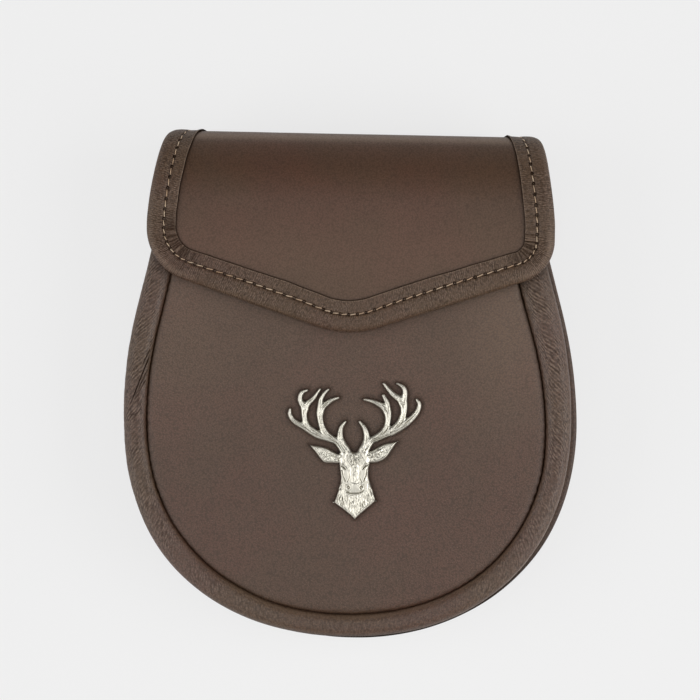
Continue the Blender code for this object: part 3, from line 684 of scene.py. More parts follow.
def make_front_panel():
    outline = panel_outline()
    centre = np.array((0.0, PANEL_CENTRE_Y))
    reach = outline - centre
    size = np.hypot(*reach.T)[:, None]
    # Each ring of points lies at a share of the way out, and a drop below the crown.
    shares = [1 - inset / size for inset, _ in PANEL_EDGE]
    shares += [shares[-1] * k / PANEL_RINGS for k in range(PANEL_RINGS - 1, 0, -1)]
    shares = np.array(shares)[::-1]
    drops = np.array([drop for _, drop in PANEL_EDGE] + [0.0] * (PANEL_RINGS - 1))[::-1]
    face = panel_z(shares[..., 0]) - drops[:, None]
    rings = np.concatenate([centre + reach * shares, face[..., None]], -1)
    swell = 0.09 * wander(rings, 38, 2.0) + 0.03 * wander(rings, 13, 9.0)
    fade = np.clip(4 * (1 - shares.max(1)), 0, 1)
    rings[..., 2] += swell * fade - PANEL_SINK
    under = rings[PANEL_UNDER_RINGS]
    under[0, :, 2] = PANEL_EDGE_Z - PANEL_THICKNESS
    under[1:, :, 2] -= PANEL_THICKNESS
    points, faces = plated(np.vstack([rings, under]), (*centre, panel_z(0) - PANEL_HUB_SINK),
                           (*centre, panel_z(0) - PANEL_THICKNESS))
    look = leather("front_panel_leather", grain_mm=0.72, grain_depth_mm=0.19, rough=0.44,
                   waxed=0.70, marked=("edge", "shade", "painted_light"))
    panel = piece("front_panel_crowned", points, faces, look, 60)
    # Its turned edge and cut edge are darkened: burnish, with painted shade down into the groove.
    turned = np.append(drops, [PANEL_THICKNESS] * len(under))
    turned = np.repeat(np.clip(turned, 0, 1) * PANEL_EDGE_BURNISH_AND_SHADE, len(outline))
    paint(panel, "edge", np.append(turned, (0, 1)))
    # Painted shade in the groove beside the roll.
    insets = (1 - shares.mean(axis=(1, 2))) * size.mean()
    insets = np.append(insets, [0.0] * len(under))[:, None]
    in_groove = bell(insets, 1.1) * by_bearing(outline, PANEL_GROOVE_SHADE)
    paint(panel, "shade", np.append(in_groove, (0, 0)))
    # Painted light: paler towards its top, and more towards its sides.
    x, y = points[:, 0], points[:, 1]
    wear_and_light = PANEL_LIT + PANEL_LIT_LEFT * eased((-x - 40) / 30)
    wear_and_light = wear_and_light + PANEL_LIT_RIGHT * eased((x - 35) / 35)
    paint(panel, "painted_light", wear_and_light * eased((y + 50) / 85))
    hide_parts("front_panel")


make_front_panel()


# --- Stag badge --------------------------------------------------------------------------
# A stag's head cast in white metal with an antique silver finish. Hair, antler veins and the
# face are cut in the casting, and the dark finish stays in their hollows.

BADGE_X, BADGE_POLL_Y, BADGE_BASE_Z = 3.8, -28.6, 36.3
BADGE_STEP = 0.15  # between the points of the relief
BADGE_FROM, BADGE_TO = (-29.0, -29.0), (29.1, 30.1)  # what the relief spans from the poll
WALL_HEIGHT, LEAST_HEIGHT = 0.55, 0.4
SOFT_JOIN = 0.15  # how far the antlers, ears and head run together
ANTLER_WEB, ANTLER_SPARE = 0.45, 0.30  # fillets between strokes, and growth all round
ANTLER_VEINS = [(0.15, 0.23), (-0.45, 0.19)]  # how far across each stroke, and how wide
ANTLER_VEIN_DEPTH = 0.55
BADGE_SHADE, BADGE_SHADE_REACH = 0.58, 1.2  # painted shadow on the leather close round it: how dark, and how far it reaches
FAR = 9.0  # further than any shade reaches

# Antler strokes from the poll: each row is one stroke, its points x, y and radius.
ANTLERS = {
    "left_root": [(-2.7, -1.8, 1.8), (-4.2, 1.2, 1.4), (-5.7, 3.9, 0.95)],
    "right_root": [(2.5, -1.8, 1.8), (3.9, 1.2, 1.4), (5.5, 3.9, 0.95)],
    "left_beam": [(-4.4, 0.4, 1.0), (-7.5, 4.3, 0.85), (-11.3, 5.7, 0.8), (-14.8, 6.9, 0.9),
                  (-20.4, 10.2, 0.85), (-25.0, 12.7, 0.6), (-27.2, 15.6, 0.5),
                  (-27.1, 17.9, 0.2)],
    "left_brow": [(-4.4, 1.6, 0.9), (-6.1, 6.2, 0.85), (-5.7, 10.2, 0.5), (-4.0, 12.7, 0.15)],
    "left_outer": [(-15.6, 7.4, 0.8), (-19.4, 10.2, 0.85), (-21.0, 14.0, 0.75),
                   (-20.8, 18.9, 0.85), (-17.6, 22.3, 0.5), (-14.6, 26.3, 0.1)],
    "left_outer_prong": [(-20.8, 18.2, 0.9), (-22.9, 21.8, 0.65), (-22.2, 24.8, 0.5),
                         (-20.0, 25.8, 0.15)],
    "left_inner": [(-9.6, 5.6, 0.8), (-12.5, 8.3, 0.9), (-14.2, 12.2, 0.8),
                   (-14.4, 17.4, 0.85), (-10.6, 21.2, 0.55), (-6.9, 22.8, 0.2)],
    "left_inner_prong": [(-14.4, 16.8, 0.85), (-14.4, 21.2, 0.55), (-12.9, 24.3, 0.35),
                         (-11.1, 26.2, 0.15)],
    "right_beam": [(4.0, 0.4, 1.0), (6.9, 4.7, 0.85), (10.2, 6.2, 0.75), (17.2, 9.3, 0.9),
                   (22.4, 12.9, 0.9), (25.9, 16.6, 0.65), (27.0, 20.0, 0.5),
                   (25.9, 22.0, 0.2)],
    "right_brow": [(4.0, 1.4, 0.9), (5.0, 5.8, 0.85), (4.2, 9.8, 0.6), (2.1, 12.7, 0.15)],
    "right_outer": [(15.2, 8.8, 0.9), (18.8, 12.2, 1.0), (20.4, 16.6, 0.95),
                    (20.0, 21.0, 1.05), (15.8, 24.4, 0.65), (12.2, 28.6, 0.25)],
    "right_outer_prong": [(20.1, 20.4, 1.0), (21.0, 24.6, 0.7), (20.2, 27.2, 0.5),
                          (17.8, 28.7, 0.15)],
    "right_inner": [(8.8, 6.0, 0.8), (12.2, 8.7, 0.9), (13.7, 12.2, 0.8), (13.5, 17.2, 0.95),
                    (9.0, 20.7, 0.6), (4.0, 22.1, 0.2)],
    "right_inner_prong": [(13.6, 16.8, 0.9), (13.6, 20.4, 0.65), (11.9, 23.7, 0.3)],
}

# Swellings: each row is one, its middle x and y, half width, half height, rise and turn in
# degrees. Each antler stands on one that runs into the brow.
ANTLER_FEET = [(-4.2, 0.4, 2.2, 3.2, 0.55, 0), (4.0, 0.4, 2.2, 3.2, 0.55, 0)]
FACE_SWELLINGS = [
    (0.0, -3.4, 4.8, 5.0, 0.55, 0),  # the forehead
    (0.0, -9.4, 2.1, 5.6, 0.7, 0),  # the bridge of the nose
    (-3.9, -9.2, 1.3, 2.8, 0.4, 12),  # the cheeks
    (3.8, -9.2, 1.3, 2.8, 0.4, -12),
    (-4.6, -2.4, 1.1, 3.0, 0.5, -14),  # the brows
    (4.4, -2.2, 1.1, 3.0, 0.5, 14),
    (0.0, -14.8, 3.9, 3.1, 0.6, 0),  # the muzzle
    (-2.8, -14.7, 1.3, 1.2, 0.3, 0),  # beside the nostrils
    (2.9, -14.7, 1.3, 1.2, 0.3, 0),
    (0.0, -22.0, 5.0, 5.5, 0.35, 0),  # the breast
]
# Each ear's outline is in EARS, and this is the thick ridge at its root.
EAR_ROOTS = {"left": (-8.4, -0.9, 4.0, 0.95, 1.0, -27), "right": (8.4, -0.5, 4.0, 0.95, 1.0, 27)}

# Outlines from the poll, each run round once anticlockwise; a point given twice is a corner.
HEAD = [(-5.6, 1.2), (-7.0, -1.6), (-6.5, -4.2), (-6.1, -7.8), (-5.8, -11.6), (-7.0, -16.6),
        (-8.6, -21.0), (-8.6, -21.0), (-2.1, -25.9), (0.0, -28.1), (0.0, -28.1),
        (2.1, -26.0), (8.6, -20.4), (8.6, -20.4), (7.3, -15.6), (6.0, -11.6), (5.6, -7.8),
        (6.3, -4.4), (6.8, -1.6), (5.4, 1.2), (2.4, 0.9), (0.0, -0.1), (-2.6, 0.9)]
EARS = {
    "left": [(-5.0, -0.8), (-7.6, -0.5), (-12.2, 1.9), (-18.7, 2.9), (-18.7, 2.9),
             (-16.4, 0.0), (-13.2, -3.9), (-10.4, -4.5), (-5.0, -4.2)],
    "right": [(5.0, -4.2), (8.6, -4.3), (12.6, -2.7), (15.4, 1.0), (17.6, 4.4), (17.6, 4.4),
              (12.2, 3.3), (8.6, 1.4), (5.0, -0.6)],
}

# Lines cut in the face: each row is one line, how wide and how deep, then its points.
FACE_LINES = [
    (0.24, 0.60, (-5.6, -5.9), (-4.8, -6.2), (-3.9, -7.0)),  # the eyes
    (0.24, 0.60, (5.3, -5.5), (4.5, -5.9), (3.6, -6.8)),
    (0.15, 0.25, (-5.9, -4.9), (-4.6, -5.2), (-3.1, -6.5)),  # above the eyes
    (0.15, 0.25, (5.7, -4.6), (4.3, -4.9), (3.0, -6.3)),
    (0.19, 0.50, (-5.3, -7.6), (-4.9, -9.6), (-3.9, -12.0)),  # beside the cheeks
    (0.19, 0.50, (5.2, -7.4), (4.8, -9.4), (3.8, -12.0)),
    (0.17, 0.36, (-2.5, -8.2), (-2.2, -10.2), (-3.0, -12.2)),  # beside the nose
    (0.17, 0.36, (2.3, -8.2), (2.1, -10.2), (3.0, -12.4)),
    (0.15, 0.20, (-1.2, -12.5), (0.2, -13.0), (1.6, -12.6)),  # the nose's top
    (0.18, 0.34, (-3.6, -13.2), (-4.1, -14.7), (-3.6, -16.1), (-2.4, -16.7)),  # the muzzle
    (0.18, 0.34, (3.8, -13.2), (4.2, -14.7), (3.6, -16.1), (2.4, -16.7)),
    (0.27, 0.60, (-3.0, -14.4), (-2.5, -14.1), (-2.1, -14.7), (-2.5, -15.3)),  # nostrils
    (0.27, 0.60, (3.2, -14.4), (2.7, -14.1), (2.3, -14.7), (2.7, -15.3)),
    (0.19, 0.45, (-3.4, -16.6), (-1.8, -17.1), (0.4, -17.2), (2.4, -16.9)),  # the mouth
    (0.15, 0.20, (-2.6, -17.6), (0.0, -17.8), (1.8, -17.6)),
    (0.16, 0.30, (-2.6, 1.0), (-3.3, -1.4), (-4.4, -3.6)),  # the antlers' roots
    (0.16, 0.30, (2.3, 1.0), (3.0, -1.4), (4.2, -3.4)),
]


def through(points, steps):
    """A smooth curve through the points, with a number of steps between each two."""
    points = np.asarray(points, float)
    ends = np.vstack([points[:1], points, points[-1:]])
    t = np.linspace(0.0, 1.0, steps, endpoint=False)[:, None]
    spans = []
    for a, b, c, d in zip(ends, ends[1:], ends[2:], ends[3:]):
        spans.append(b + 0.5 * t * (c - a + t * (2 * a - 5 * b + 4 * c - d
                                                 + t * (3 * b - a - 3 * c + d))))
    return np.vstack([*spans, points[-1:]])


def from_line(at, line):
    """Distance outside a line with a radius, and how far across it, -1 to 1, at each place."""
    outside, across = np.full(len(at), 99.0), np.zeros(len(at))
    for a, b in zip(line, line[1:]):
        way = b[:2] - a[:2]
        if not way.any():
            continue
        start = at - a[:2]
        share = np.clip(start @ way / (way @ way), 0, 1)
        miss = start - share[:, None] * way
        distance = np.hypot(*miss.T)
        radius = a[2] + (b[2] - a[2]) * share
        nearer = distance - radius < outside
        outside[nearer] = (distance - radius)[nearer]
        side = np.sign(way[0] * start[:, 1] - way[1] * start[:, 0])
        across[nearer] = (side * distance / np.maximum(radius, 0.05))[nearer]
    return outside, across


def from_outline(at, outline):
    """Distance outside a closed outline at each place, negative within it."""
    outline = through(outline + outline[:1], 5)
    flat = np.column_stack([outline, np.zeros(len(outline))])
    distance, _ = from_line(at, flat)
    within = np.zeros(len(at), bool)
    for (x0, y0), (x1, y1) in zip(outline, outline[1:]):
        if y0 != y1:
            crossing = x0 + (at[:, 1] - y0) * (x1 - x0) / (y1 - y0)
            within ^= ((y0 > at[:, 1]) != (y1 > at[:, 1])) & (at[:, 0] < crossing)
    return np.where(within, -distance, distance)


def swellings(at, table):
    """Smooth rises over the oval patches of a table."""
    rise = np.zeros(len(at))
    for x, y, half_width, half_height, most, turned in table:
        turned = math.radians(turned)
        dx, dy = (at - (x, y)).T
        across = (dx * math.cos(turned) + dy * math.sin(turned)) / half_width
        along = (dy * math.cos(turned) - dx * math.sin(turned)) / half_height
        rise += most * np.exp(-(across ** 2 + along ** 2) ** 1.3)
    return rise


def domed_off(outside, reach):
    """0 on an outline, rising to 1 within it over about `reach`."""
    return 1 - np.exp(-np.maximum(-outside, 0) / reach)


def antler_relief(at):
    """Distance outside the antlers and their height, veined along each stroke."""
    merged = np.zeros(len(at))
    veins = np.zeros(len(at))
    for seed, stroke in enumerate(ANTLERS.values()):
        line = through(stroke, 5) * (1, 1, 1.15)
        low, high = line[:, :2].min(0) - 3, line[:, :2].max(0) + 3
        near = ((at > low) & (at < high)).all(1)
        outside, across = from_line(at[near], line)
        merged[near] += np.exp(-outside / ANTLER_WEB)
        for aside, width in ANTLER_VEINS:
            drift = aside + 0.3 * wander(at[near], 3.4, seed + 9 * aside)
            faded = np.clip(0.6 + wander(at[near], 4.0, seed + 20 + aside), 0, 1)
            vein = faded * bell(across - drift, width) * (outside < 0)
            veins[near] = np.maximum(veins[near], vein)
    outside = -ANTLER_WEB * np.log(np.maximum(merged, 1e-12)) - ANTLER_SPARE
    height = WALL_HEIGHT + 1.1 * domed_off(outside, 0.32) + swellings(at, ANTLER_FEET)
    cut = ANTLER_VEIN_DEPTH * veins * domed_off(outside, 0.3)
    return outside, height - cut + 0.10 * wander(at, 0.55, 3.0)


def ear_relief(at, side):
    """An ear: a hairy hollow within a raised rim, thick at its root."""
    outside = from_outline(at, EARS[side])
    height = WALL_HEIGHT + 1.2 * domed_off(outside, 0.25)
    hollow = np.clip((-outside - 0.6) / 0.3, 0, 1)
    stipple = wander(at, 0.45, 4.0) + 0.6 * wander(at, 1.0, 9.0)
    return outside, height + hollow * (-0.40 + 0.30 * stipple) + swellings(at, [EAR_ROOTS[side]])


def head_relief(at):
    """The stag's face and neck, without the lines cut in them."""
    outside = from_outline(at, HEAD)
    x, y = at.T
    height = WALL_HEIGHT + 1.1 * domed_off(outside, 0.3) + swellings(at, FACE_SWELLINGS)
    # Hair runs down and outwards: strands across the angle from a point above the poll.
    angle, reach = np.arctan2(x, 7.0 - y), np.hypot(x, 7.0 - y)
    strands = wander(gridded(angle * 74, reach * 0.5), 1.0, 6.0)
    strands += 0.8 * wander(gridded(angle * 120, reach * 0.7), 1.0, 2.0)
    neck = np.clip((-17.4 - y) / 0.8, 0, 1) + 0.8 * np.clip(np.abs(x) - 4.4, 0, 1) * (y < -11)
    brow = bell(y + 3.2, 3.2) * np.clip(1.5 - np.abs(x) / 3.4, 0, 1)
    bridge = bell(y + 8.6, 2.8) * np.clip(1.5 - np.abs(x) / 1.0, 0, 1)
    hairy = np.clip(neck + 1.2 * brow + bridge, 0, 1.2) + 0.16
    rim = bell(outside + 0.7, 0.14) * (y < -6.5)
    return outside, height + 0.36 * hairy * strands - 0.22 * rim


def badge_relief(at):
    """Distance outside the whole badge, and its height with the face's lines cut in."""
    outsides, heights = [], []
    for outside, height in (antler_relief(at), head_relief(at), ear_relief(at, "left"),
                            ear_relief(at, "right")):
        outsides.append(outside)
        heights.append(np.where(outside < 0.1, height, 0.0))
    height = SOFT_JOIN * np.log(np.exp(np.array(heights) / SOFT_JOIN).sum(0))
    for width, depth, *line in FACE_LINES:
        line = through(line, 6)
        near = np.abs(at - line.mean(0)).max(1) < 6
        distance, _ = from_line(at[near], np.column_stack([line, np.zeros(len(line))]))
        height[near] -= depth * bell(distance, width)
    return np.min(outsides, axis=0), np.maximum(height, LEAST_HEIGHT)


def inner_cells(outside):
    """The cells of the relief that lie within its outline, and the points on their rim."""
    middle = outside[:-1, :-1] + outside[1:, 1:] + outside[1:, :-1] + outside[:-1, 1:]
    kept = middle < 0
    shared = np.zeros(outside.shape)
    for dy, dx in ((0, 0), (0, 1), (1, 0), (1, 1)):
        shared[dy:dy + kept.shape[0], dx:dx + kept.shape[1]] += kept
    return kept, (shared > 0) & (shared < 4)


def hollows(height):
    """How far each point of the relief lies below those round it, 0 to 1."""
    blurred = height
    for _ in range(6):
        blurred = 0.25 * sum(np.roll(blurred, step, axis) for step in (1, -1)
                             for axis in (0, 1))
    return np.clip((blurred - height - 0.03) / 0.24, 0, 1)


def silver(name):
    """Antique silver: bright on the high places, blackened in the hollows."""
    look = Look(name, Metallic=1.0)
    where = look.place()
    wear_and_light = look.clouds(where, 2.4, 4.0, 0.6)
    fine = look.clouds(where, 0.35, 2.0)
    dark = (look.painted("hollow") + (wear_and_light - 0.5) * 0.25).ramp(0.12, 0.85)
    look.feed("Base Color", look.mixed(dark, rgb(222, 218, 205), rgb(84, 78, 69)))
    look.feed("Roughness", 0.30 + wear_and_light * 0.14 + dark * 0.30)
    look.feed("Normal", look.bumped(fine + wear_and_light * 0.8, 0.03))
    return look


def shaded(made, deeper):
    """Deepen the shade painted on a piece, by its points' places in the pouch's frame."""
    to_pouch = laid.inverted()
    places = np.array([to_pouch @ vertex.co for vertex in made.data.vertices])
    shade = np.zeros(len(places), np.float32)
    made.data.attributes["shade"].data.foreach_get("value", shade)
    shade = np.maximum(shade, deeper(places)).astype(np.float32)
    made.data.attributes["shade"].data.foreach_set("value", shade)


def make_badge():
    x, y = np.meshgrid(np.arange(BADGE_FROM[0], BADGE_TO[0], BADGE_STEP),
                       np.arange(BADGE_FROM[1], BADGE_TO[1], BADGE_STEP))
    outside, height = badge_relief(np.column_stack([x.ravel(), y.ravel()]))
    outside, height = outside.reshape(x.shape), height.reshape(x.shape)
    kept, rim = inner_cells(outside)
    slope_y, slope_x = np.gradient(outside, BADGE_STEP)
    steep = np.maximum(np.hypot(slope_x, slope_y), 0.3) ** 2
    x = np.where(rim, x - outside * slope_x / steep, x)
    y = np.where(rim, y - outside * slope_y / steep, y)
    hollow = (hollows(height) * ~rim).ravel()

    # The kept cells are the face, their mirror at the foot is the back, and walls join them.
    count = x.size
    number = np.arange(count).reshape(x.shape)
    a, b = number[:-1, :-1][kept], number[:-1, 1:][kept]
    c, d = number[1:, 1:][kept], number[1:, :-1][kept]
    front = np.stack([a, b, c, d], 1)
    edges = np.concatenate([np.stack(pair, 1) for pair in ((a, b), (b, c), (c, d), (d, a))])
    code = edges[:, 0] * count + edges[:, 1]
    loose = edges[~np.isin(code, edges[:, 1] * count + edges[:, 0])]
    walls = np.column_stack([loose[:, ::-1], loose + count])
    points = np.concatenate([gridded(x, y, height).reshape(-1, 3),
                             gridded(x, y, 0.0).reshape(-1, 3)])
    faces = np.concatenate([front, front[:, ::-1] + count, walls])
    used, faces = np.unique(faces, return_inverse=True)
    points = points[used] + (BADGE_X, BADGE_POLL_Y, BADGE_BASE_Z)
    badge = piece("stag_badge_cast", points, faces.reshape(-1, 4).tolist(),
                  silver("badge_silver"), 180)
    paint(badge, "hollow", np.append(hollow, 0 * hollow)[used])

    def by_badge(places):
        """Painted shadow on the leather close round the badge."""
        column = ((places[:, 0] - BADGE_X - BADGE_FROM[0]) / BADGE_STEP).astype(int)
        row = ((places[:, 1] - BADGE_POLL_Y - BADGE_FROM[1]) / BADGE_STEP).astype(int)
        over = (row >= 0) & (row < outside.shape[0])
        over &= (column >= 0) & (column < outside.shape[1])
        away = np.full(len(places), FAR)
        away[over] = outside[row[over], column[over]]
        return BADGE_SHADE * np.exp(-(np.maximum(away, 0) / BADGE_SHADE_REACH) ** 1.5)

    shaded(bpy.data.objects["front_panel_crowned"], by_badge)
    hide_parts("stag_badge")


make_badge()


# --- Belt loop ---------------------------------------------------------------------------
# A band of firm leather across the back, sewn flat along its top and bottom edges and
# standing off between them, for the belt to run through.

LOOP_HALF_LENGTH, LOOP_THICKNESS, LOOP_STAND_OFF = 50.0, 2.0, 7.5
LOOP_BOTTOM_Y, LOOP_SEAM_WIDTH, LOOP_RISE_WIDTH, LOOP_FACE_HEIGHT = 12.0, 6.0, 4.0, 24.0
LOOP_GAP = 0.3  # between its sewn edges and the back panel
LOOP_OUTER_SHIFT, LOOP_INNER_SHIFT = -0.2, 1.0  # how far in its two faces start to rise
LOOP_END_ROUND, LOOP_END_RADIUS = 0.55, 0.8  # how deep its cut ends are rubbed, and how far in
LOOP_EDGE_ROUND, LOOP_EDGE_RADIUS = 0.5, 0.6  # and its two long edges
LOOP_POLISH_WIDTH = 1.3
LOOP_SEAM_INSET, LOOP_SEAM_HALF_LENGTH = 3.0, 46.2
STITCH_PITCH, THREAD_RADIUS = 4.4, 0.16
THREAD_TWIST = 3.4 * math.pi  # of its two plies over one stitch


def waxed_thread(name):
    """Waxed thread: a pale tan, with fine fibres that catch the light."""
    look = Look(name, Specular_IOR_Level=0.6)
    where = look.place()
    slow = look.clouds(where, 7.0)
    fibres = look.clouds(where, 0.22, 2.0)
    colour = look.mixed(slow.ramp(0.3, 0.7), rgb(232, 208, 178), rgb(198, 164, 130))
    look.feed("Base Color", look.mixed(fibres * 0.35, colour, rgb(110, 80, 58)))
    look.feed("Roughness", 0.42 + fibres * 0.2)
    look.feed("Normal", look.bumped(fibres, 0.04))
    return look


def stitched(name, holes, up, slant=0.10, radius=THREAD_RADIUS, bulge=0.26, short=0.11):
    """Threads from each hole to the next, each one twisted, tight and dipping at its ends.

    `up` is the way out of the leather, `slant` how far a thread's ends lie to either side,
    `bulge` how far it stands out, and `short` the share of the way that it leaves free at
    each end.
    """
    holes = np.asarray(holes, float)
    up = np.broadcast_to(np.asarray(up, float), holes.shape)
    start, way = holes[:-1], np.diff(holes, axis=0)
    normal = up[:-1] + up[1:]
    normal /= np.linalg.norm(normal, axis=1)[:, None]
    aside = np.cross(normal, way)
    aside /= np.linalg.norm(aside, axis=1)[:, None]
    rings, sides, dip = 15, 10, 0.85
    t = 0.5 - 0.5 * np.cos(np.linspace(0.0, math.pi, rings))
    arch = np.sin(math.pi * t) ** 0.2
    middle = start[:, None] + way[:, None] * (short + (1 - 2 * short) * t)[None, :, None]
    middle = middle + normal[:, None] * (bulge * arch - dip * (1 - arch))[None, :, None]
    loose = 1 + 0.6 * wander(start, 9.0, 5.0)
    middle += aside[:, None] * (slant * loose[:, None] * (2 * t - 1)[None])[..., None]
    thick = radius * (0.55 + 0.45 * np.sin(math.pi * t) ** 0.5)
    turn = np.linspace(0.0, 2 * math.pi, sides, endpoint=False)
    plies = 1 + 0.16 * np.cos(2 * turn[None] - 2 * THREAD_TWIST * t[:, None])
    ring = thick[:, None] * plies
    points = middle[:, :, None] + aside[:, None, None] * (ring * np.cos(turn))[..., None]
    points = points + normal[:, None, None] * (ring * np.sin(turn))[..., None]
    faces = []
    for k in range(len(way)):
        faces += tube_faces(rings, sides, first=k * rings * sides)
    return piece(name, points.reshape(-1, 3), faces, waxed_thread(name + "_thread"), 70)


def rounded_off(from_cut, radius):
    """How far a cut edge is rounded off by rubbing: 1 at the cut, 0 from a radius away."""
    return 1 - np.sqrt(1 - (1 - np.clip(from_cut / radius, 0, 1)) ** 2)


def make_belt_loop():
    top = LOOP_BOTTOM_Y + 2 * (LOOP_SEAM_WIDTH + LOOP_RISE_WIDTH) + LOOP_FACE_HEIGHT
    low_end, high_end = LOOP_BOTTOM_Y + LOOP_SEAM_WIDTH, top - LOOP_SEAM_WIDTH
    y = np.linspace(LOOP_BOTTOM_Y, top, 90)
    # It stands off further towards its top, because the pouch rests on it, tipped.
    up_face = np.clip((y - low_end - LOOP_RISE_WIDTH) / LOOP_FACE_HEIGHT, 0, 1)
    face = LOOP_STAND_OFF + LOOP_FACE_HEIGHT * back_face["axis"][1] * up_face

    def risen(shift):
        """How far a face of the band has risen, from 0 where it is sewn to 1."""
        return np.minimum(eased((y - low_end - shift) / LOOP_RISE_WIDTH),
                          eased((high_end - shift - y) / LOOP_RISE_WIDTH))

    sewn = LOOP_GAP + LOOP_THICKNESS
    outer_z = -(sewn + (face - sewn) * risen(LOOP_OUTER_SHIFT))
    inner_z = -(LOOP_GAP + (face - sewn) * risen(LOOP_INNER_SHIFT))
    from_end = np.array([0.0, 0.12, 0.4, LOOP_END_RADIUS])
    between = LOOP_HALF_LENGTH - 2 * LOOP_END_RADIUS
    x = np.concatenate([from_end - LOOP_HALF_LENGTH, np.linspace(-between, between, 90),
                        LOOP_HALF_LENGTH - from_end[::-1]])
    cut = LOOP_HALF_LENGTH - np.abs(x)[:, None]
    end_round = LOOP_END_ROUND * rounded_off(cut, LOOP_END_RADIUS)
    to_edge = np.minimum(y - LOOP_BOTTOM_Y, top - y)
    edge_round = LOOP_EDGE_ROUND * rounded_off(to_edge, LOOP_EDGE_RADIUS)
    give = 0.10 * wander(np.stack(np.meshgrid(y, x), -1), 11.0, 3.0)
    outer = outer_z + np.maximum(end_round, edge_round) + np.maximum(give, -0.05)
    inner = inner_z - end_round
    all_y = np.append(y, y[::-1])
    sections = gridded(x[:, None], all_y, np.hstack([outer, inner[:, ::-1]]))
    look = leather("belt_loop_leather", grain_mm=0.9, grain_depth_mm=0.08, rough=0.46,
                   waxed=0.67, marked=("edge",))
    loop = piece("belt_loop_sewn", *tube(sections), look, 40)
    to_cut = np.minimum(cut, np.minimum(all_y - LOOP_BOTTOM_Y, top - all_y))
    paint(loop, "edge", np.clip(LOOP_POLISH_WIDTH - to_cut, 0, 1))
    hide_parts("belt_loop")
    holes_x = np.arange(-LOOP_SEAM_HALF_LENGTH, LOOP_SEAM_HALF_LENGTH + 0.1, STITCH_PITCH)
    for name, seam_y in (("low", LOOP_BOTTOM_Y + LOOP_SEAM_INSET), ("high", top - LOOP_SEAM_INSET)):
        stitched("belt_loop_stitches_" + name, gridded(holes_x, seam_y, -sewn), (0, 0, -1))


make_belt_loop()


# --- Seam round the back -----------------------------------------------------------------
# One row of stitches all round holds the gusset to the back panel. They are of the same waxed
# thread, and are pulled down into the leather.

BACK_SEAM_INSET, BACK_SEAM_Z = 3.4, 0.12


def make_back_seam():
    path = pouch_edge(560)
    path = path + inward(path) * BACK_SEAM_INSET
    path = spaced(path, int(lengthwise(path)[-1, 0] / STITCH_PITCH))
    stitched("back_seam_stitches", gridded(*path.T, BACK_SEAM_Z), (0, 0, -1), bulge=0.0)


make_back_seam()


# --- Flap --------------------------------------------------------------------------------
# One sheet of firm leather, 2.4 mm thick, sewn to the back, bent over the top and down the
# front to a blunt V. It is sewn on a little askew. Its edge lies inside the binding.

# Along the flap, c runs from its crest down the front, and is negative down its back. Past the
# crest it bends tightly through a first angle and widely after that, to lie flat on the front.
FLAP_THICKNESS, FLAP_FRONT_Z, FLAP_TAIL_Z = 2.4, 39.4, -1.7
FLAP_CREST_Y, FLAP_BEND_DEPTH, FLAP_TAIL_END_Y, FLAP_TIP_Y = 103.8, 29.0, 58.0, 21.6
FLAP_TIGHT = math.radians(50.0)  # that first angle
FLAP_HALF_WIDTH, FLAP_CREST_HALF_WIDTH, FLAP_TAIL_HALF_WIDTH = 85.3, 76.0, 73.2
FLAP_FULL_WIDTH_C = 47.6
FLAP_SLOPE = math.radians(18.4)  # of the V's two edges
FLAP_TIP_RADIUS, FLAP_LEFT_RADIUS, FLAP_RIGHT_RADIUS = 41.0, 23.0, 18.0
# It is turned by an angle about a point at a height, and shifted sideways.
FLAP_SKEW, FLAP_SKEW_Y, FLAP_SHIFT_X = math.radians(-0.9), 66.0, 2.0
FLAP_CREST_RISE, FLAP_CREST_LEAN = 0.55, 0.009  # the bend is not quite even across
# How far each side stands out near the crest, and at what c.
FLAP_RIGHT_SWELL, FLAP_LEFT_SWELL, FLAP_SWELL_REACH = (1.2, 8), (1.0, 6), 17
FLAP_INSET = 6.0  # of the sheet's edge from the binding's
FLAP_POLISH_WIDTH = 1.6
FLAP_SEAMS = {"low": 3.4, "high": 13.0}  # how far each is from the tail's end
FLAP_SEAM_HALF_LENGTH = 64.0
# The middles and widths of a painted highlight just below the crest, where the bend reflects
# the light behind it, and of a band of painted shade under it, by y.
FLAP_HIGHLIGHT_Y, FLAP_HIGHLIGHT_WIDTH, FLAP_SHADE_BAND_Y, FLAP_SHADE_BAND_WIDTH = 104.5, 1.7, 95, 8
FLAP_HIGHLIGHT_LEAN, FLAP_HIGHLIGHT_LEVEL_X = 0.0224, -44

FLAP_BACK = 0.5 * (FLAP_FRONT_Z - FLAP_TAIL_Z)  # radius of the bend behind the crest
flap_s, flap_c = math.sin(FLAP_TIGHT), math.cos(FLAP_TIGHT)
flap_share = flap_s * flap_c - (1 - flap_s) * (1 - flap_c)
FLAP_TIGHT_RADIUS = (FLAP_BACK * flap_c - (1 - flap_s) * FLAP_BEND_DEPTH) / flap_share
FLAP_WIDE_RADIUS = (flap_s * FLAP_BEND_DEPTH - (1 - flap_c) * FLAP_BACK) / flap_share
FLAP_BACK_LENGTH = 0.5 * math.pi * FLAP_BACK
FLAP_TIGHT_LENGTH = FLAP_TIGHT * FLAP_TIGHT_RADIUS
FLAP_WIDE_LENGTH = (0.5 * math.pi - FLAP_TIGHT) * FLAP_WIDE_RADIUS
FLAP_TAIL_C = -FLAP_BACK_LENGTH - (FLAP_CREST_Y - FLAP_BACK - FLAP_TAIL_END_Y)


